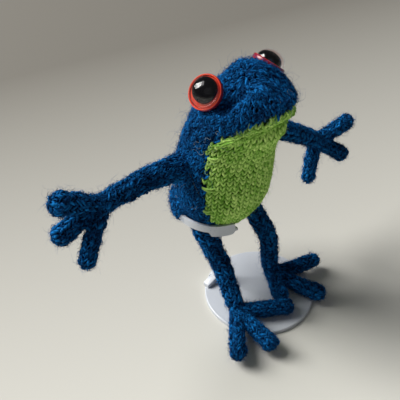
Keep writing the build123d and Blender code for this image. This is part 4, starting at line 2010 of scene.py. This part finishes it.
# ---------------------------------------------------------------- stand
@dataclass
class DollStand:
    """White stand: the CAD disc and post with rounded edges, and a clip moulded round the waist."""

    finishes: Finishes
    edge_radius: float = 0.18
    merge_gap: float = 0.002
    centre: tuple[float, float] = (-6.8, 20.4)
    inner_radius: float = 14.8
    wall: float = 1.0
    top: float = 41.4
    band_bottom: float = 38.2
    paddle_bottom: float = 36.3
    back_angle: float = 55.0
    paddle_angle: float = 221.0
    paddle_step: float = 4.0  # degrees in which the band widens into the paddle
    end_square: float = 3.4  # 2 is a round end, more is squarer
    front_angle: float = 258.0
    post: tuple[float, float] = (-8.6, 15.4)
    post_radius: float = 1.0
    hub_radius: float = 2.5
    hub_bottom: float = 28.1
    hub_top: float = 35.3
    web_angle: float = -107.0
    web_width: float = 6.0
    web_thickness: float = 1.2
    web_middle: float = 34.7
    web_rise: float = 2.3
    web_rise_span: Range = (0.45, 1.0)  # shares of the web's length between which it rises
    disc_top: float = 1.6
    rib_end: tuple[float, float] = (-15.6, 15.1)
    rib_width: float = 3.0
    rib_heights: tuple[float, float] = (4.0, 1.7)
    rib_sink: float = 0.3  # into the disc

    def dress(self) -> None:
        """Round the edges of the disc and post, and make the clip."""
        for name in ("stand_base", "stand_post"):
            node = frame["nodes"][name]
            weld = node.modifiers.new("weld", "WELD")
            weld.merge_threshold = self.merge_gap * MM
            bevel = node.modifiers.new("bevel", "BEVEL")
            bevel.width = self.edge_radius * MM
            bevel.segments = 3
            bevel.limit_method = "ANGLE"
            bevel.angle_limit = float(np.radians(40.0))
            bevel.harden_normals = True
            for place in node.material_slots:
                place.material = self.finishes.white_plastic
        self._side_rib()
        clip = Workbench.joined("waist_clip_moulding", [self._band(), self._web(), self._hub()])
        Workbench.painted(clip, self.finishes.white_plastic)
        Workbench.smooth(clip, 40.0)
        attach(clip, "clip")
        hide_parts("waist_clip")

    def _side_rib(self) -> None:
        """Make the low rib from the post's socket to the disc's rim."""
        Workbench.clear()
        bpy.ops.mesh.primitive_cube_add(size=1.0)
        rib = bpy.context.object
        rib.name = "stand_side_rib"
        near, far = np.array(self.post), np.array(self.rib_end)
        side = unit(np.array([near[1] - far[1], far[0] - near[0]]))
        high, low = self.rib_heights

        def shaped(points: Array) -> Array:
            """Stretch the cube into the sloping rib."""
            local = points * MM
            share = local[:, 0] + 0.5
            ground = near + (far - near) * share[:, None] + side * (local[:, 1] * self.rib_width)[:, None]
            top = high + (low - high) * share
            return np.column_stack([ground, self.disc_top + np.where(local[:, 2] > 0, top, -self.rib_sink)])

        Workbench.placed(rib, shaped)
        Workbench.bevelled(rib, 0.3, 4)
        Workbench.painted(rib, self.finishes.white_plastic)
        Workbench.smooth(rib, 40.0)
        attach(rib, "stand")

    def _band(self) -> bpy.types.Object:
        """Thin band round the waist that widens into a paddle with a round end.

        Returns:
            The band.
        """
        Workbench.clear()
        bpy.ops.mesh.primitive_grid_add(x_subdivisions=200, y_subdivisions=14, size=1.0)
        band = bpy.context.object
        middle = self.inner_radius + self.wall / 2

        def bent(points: Array) -> Array:
            """Bend the sheet into the band."""
            local = points * MM
            share = 0.5 + 0.5 * np.sin(np.pi * local[:, 0])  # closer rows towards the round ends
            turn = self.back_angle + share * (self.front_angle - self.back_angle)
            widening = np.clip((turn - self.paddle_angle) / self.paddle_step, 0, 1)
            low = self.band_bottom - (self.band_bottom - self.paddle_bottom) * widening
            half = (self.top - low) / 2
            arc = np.radians(np.minimum(self.front_angle - turn, turn - self.back_angle)) * middle
            round_off = (1 - np.clip(1 - arc / half, 0, 0.999) ** self.end_square) ** (1 / self.end_square)
            height = low + half + local[:, 1] * 2 * half * round_off
            angle = np.radians(turn)
            x, y = self.centre[0] + middle * np.cos(angle), self.centre[1] + middle * np.sin(angle)
            return np.stack([x, y, height], 1)

        Workbench.placed(band, bent)
        Workbench.modified(band, "SOLIDIFY", {"thickness": self.wall * MM, "offset": 0.0})
        return Workbench.bevelled(band, 0.28, 4)

    def _web(self) -> bpy.types.Object:
        """Flat arm from the hub out to the paddle, rising near its outer end.

        Returns:
            The arm.
        """
        Workbench.clear()
        bpy.ops.mesh.primitive_cube_add(size=1.0)
        web = bpy.context.object
        bpy.ops.object.mode_set(mode="EDIT")
        bpy.ops.mesh.select_all(action="SELECT")
        bpy.ops.mesh.subdivide(number_cuts=9)
        bpy.ops.object.mode_set(mode="OBJECT")
        angle = np.radians(self.web_angle)
        far = np.array(self.centre) + self.inner_radius * np.array([np.cos(angle), np.sin(angle)])
        near = np.array(self.post)
        way = unit(far - near)
        side = np.array([-way[1], way[0]])

        def bent(points: Array) -> Array:
            """Lay the bar from the hub to the paddle."""
            local = points * MM
            share = local[:, 0] + 0.5
            ground = near + (far - near) * share[:, None] + side * (local[:, 1] * self.web_width)[:, None]
            rise = self.web_rise * ramp(share, self.web_rise_span)
            height = self.web_middle + rise + local[:, 2] * self.web_thickness
            return np.column_stack([ground, height])

        Workbench.placed(web, bent)
        return Workbench.bevelled(web, 0.2, 3)

    def _hub(self) -> bpy.types.Object:
        """Round hub that turns on the post.

        Returns:
            The hub.
        """
        outer, inner, low, high = self.hub_radius, self.post_radius + 0.05, self.hub_bottom, self.hub_top
        profile = [
            (outer - 0.2, low),
            (outer, low + 0.2),
            (outer, high - 0.2),
            (outer - 0.2, high),
            (inner, high),
        ]
        hub = Workbench.turned("clip_hub", profile, 40)
        x, y = self.post
        return Workbench.placed(hub, lambda points: points + np.array([x, y, 0.0]))


@dataclass(frozen=True)
class Lamp:
    """Soft lamp that points at the frog: place and size in metres, power in watts."""

    name: str
    place: Point
    width: float
    height: float
    power: float
    colour: Colour


@dataclass
class Studio:
    """Table, light and camera."""

    finishes: Finishes
    table_size: float = 6.0
    lamps: tuple[Lamp, ...] = (
        Lamp("window_light", (-0.95, 1.32, 1.50), 1.1, 1.5, 80.0, (1.0, 0.985, 0.96)),
        Lamp("room_fill", (-0.9, -1.6, 1.8), 2.0, 2.0, 1.5, (0.95, 0.97, 1.0)),
    )
    lamp_aim: Point = (0.0, 0.0, 0.05)
    world_colour: tuple[float, float, float, float] = (0.80, 0.82, 0.86, 1.0)
    world_strength: float = 0.13
    camera_place: Point = (-140.8, -130.4, 219.1)
    camera_aim: Point = (-16.6561, 17.5914, 48.1295)
    lens: float = 63.0

    def build(self) -> None:
        """Set up the table, the lamps, the world and the camera."""
        Workbench.clear()
        bpy.ops.mesh.primitive_plane_add(size=self.table_size, location=(0, 0, 0))
        table = bpy.context.object
        table.name = "table_top"
        table.data.materials.append(self.finishes.table)
        for each in self.lamps:
            self._add(each)
        world = bpy.data.worlds.new("room")
        world.use_nodes = True
        background = world.node_tree.nodes["Background"]
        background.inputs[0].default_value = self.world_colour
        background.inputs[1].default_value = self.world_strength
        scene = bpy.context.scene
        scene.world = world
        scene.view_settings.view_transform = "Standard"
        camera_data = bpy.data.cameras.new("camera")
        camera_data.lens = self.lens
        camera_data.sensor_width = 36.0
        camera_data.clip_start = 0.005
        camera = bpy.data.objects.new("camera", camera_data)
        scene.collection.objects.link(camera)
        place = Vector(self.camera_place) * MM
        camera.location = place
        camera.rotation_euler = (Vector(self.camera_aim) * MM - place).to_track_quat("-Z", "Y").to_euler()
        scene.camera = camera

    def _add(self, lamp: Lamp) -> None:
        """Add one lamp to the scene.

        Args:
            lamp: The lamp.
        """
        data = bpy.data.lights.new(lamp.name, "AREA")
        data.shape = "RECTANGLE"
        data.size, data.size_y = lamp.width, lamp.height
        data.energy = lamp.power
        data.color = lamp.colour
        added = bpy.data.objects.new(lamp.name, data)
        bpy.context.scene.collection.objects.link(added)
        added.location = lamp.place
        way = Vector(self.lamp_aim) - Vector(lamp.place)
        added.rotation_euler = way.to_track_quat("-Z", "Y").to_euler()


def dress_nodes(finishes: Finishes) -> None:
    """Give the CAD nodes that stay their finishes.

    Args:
        finishes: The materials.
    """
    for name, node in frame["nodes"].items():
        if name.endswith("_wire"):
            material = finishes.wire
        elif name == "eye_washers":
            material = finishes.washer
        else:
            material = finishes.blue_shaded_core
        for place in node.material_slots:
            place.material = material


def main() -> None:
    """Build every sub-assembly in order, then the studio."""
    finishes = Finishes()
    knitter = Knitter(seed=7)
    dress_nodes(finishes)
    KnittedBody(finishes, knitter).build()
    for each in LIMBS:
        each.build(finishes, knitter)
    DomedEyes(finishes).build()
    DollStand(finishes).dress()
    Studio(finishes).build()


if __name__ == "__main__":
    main()
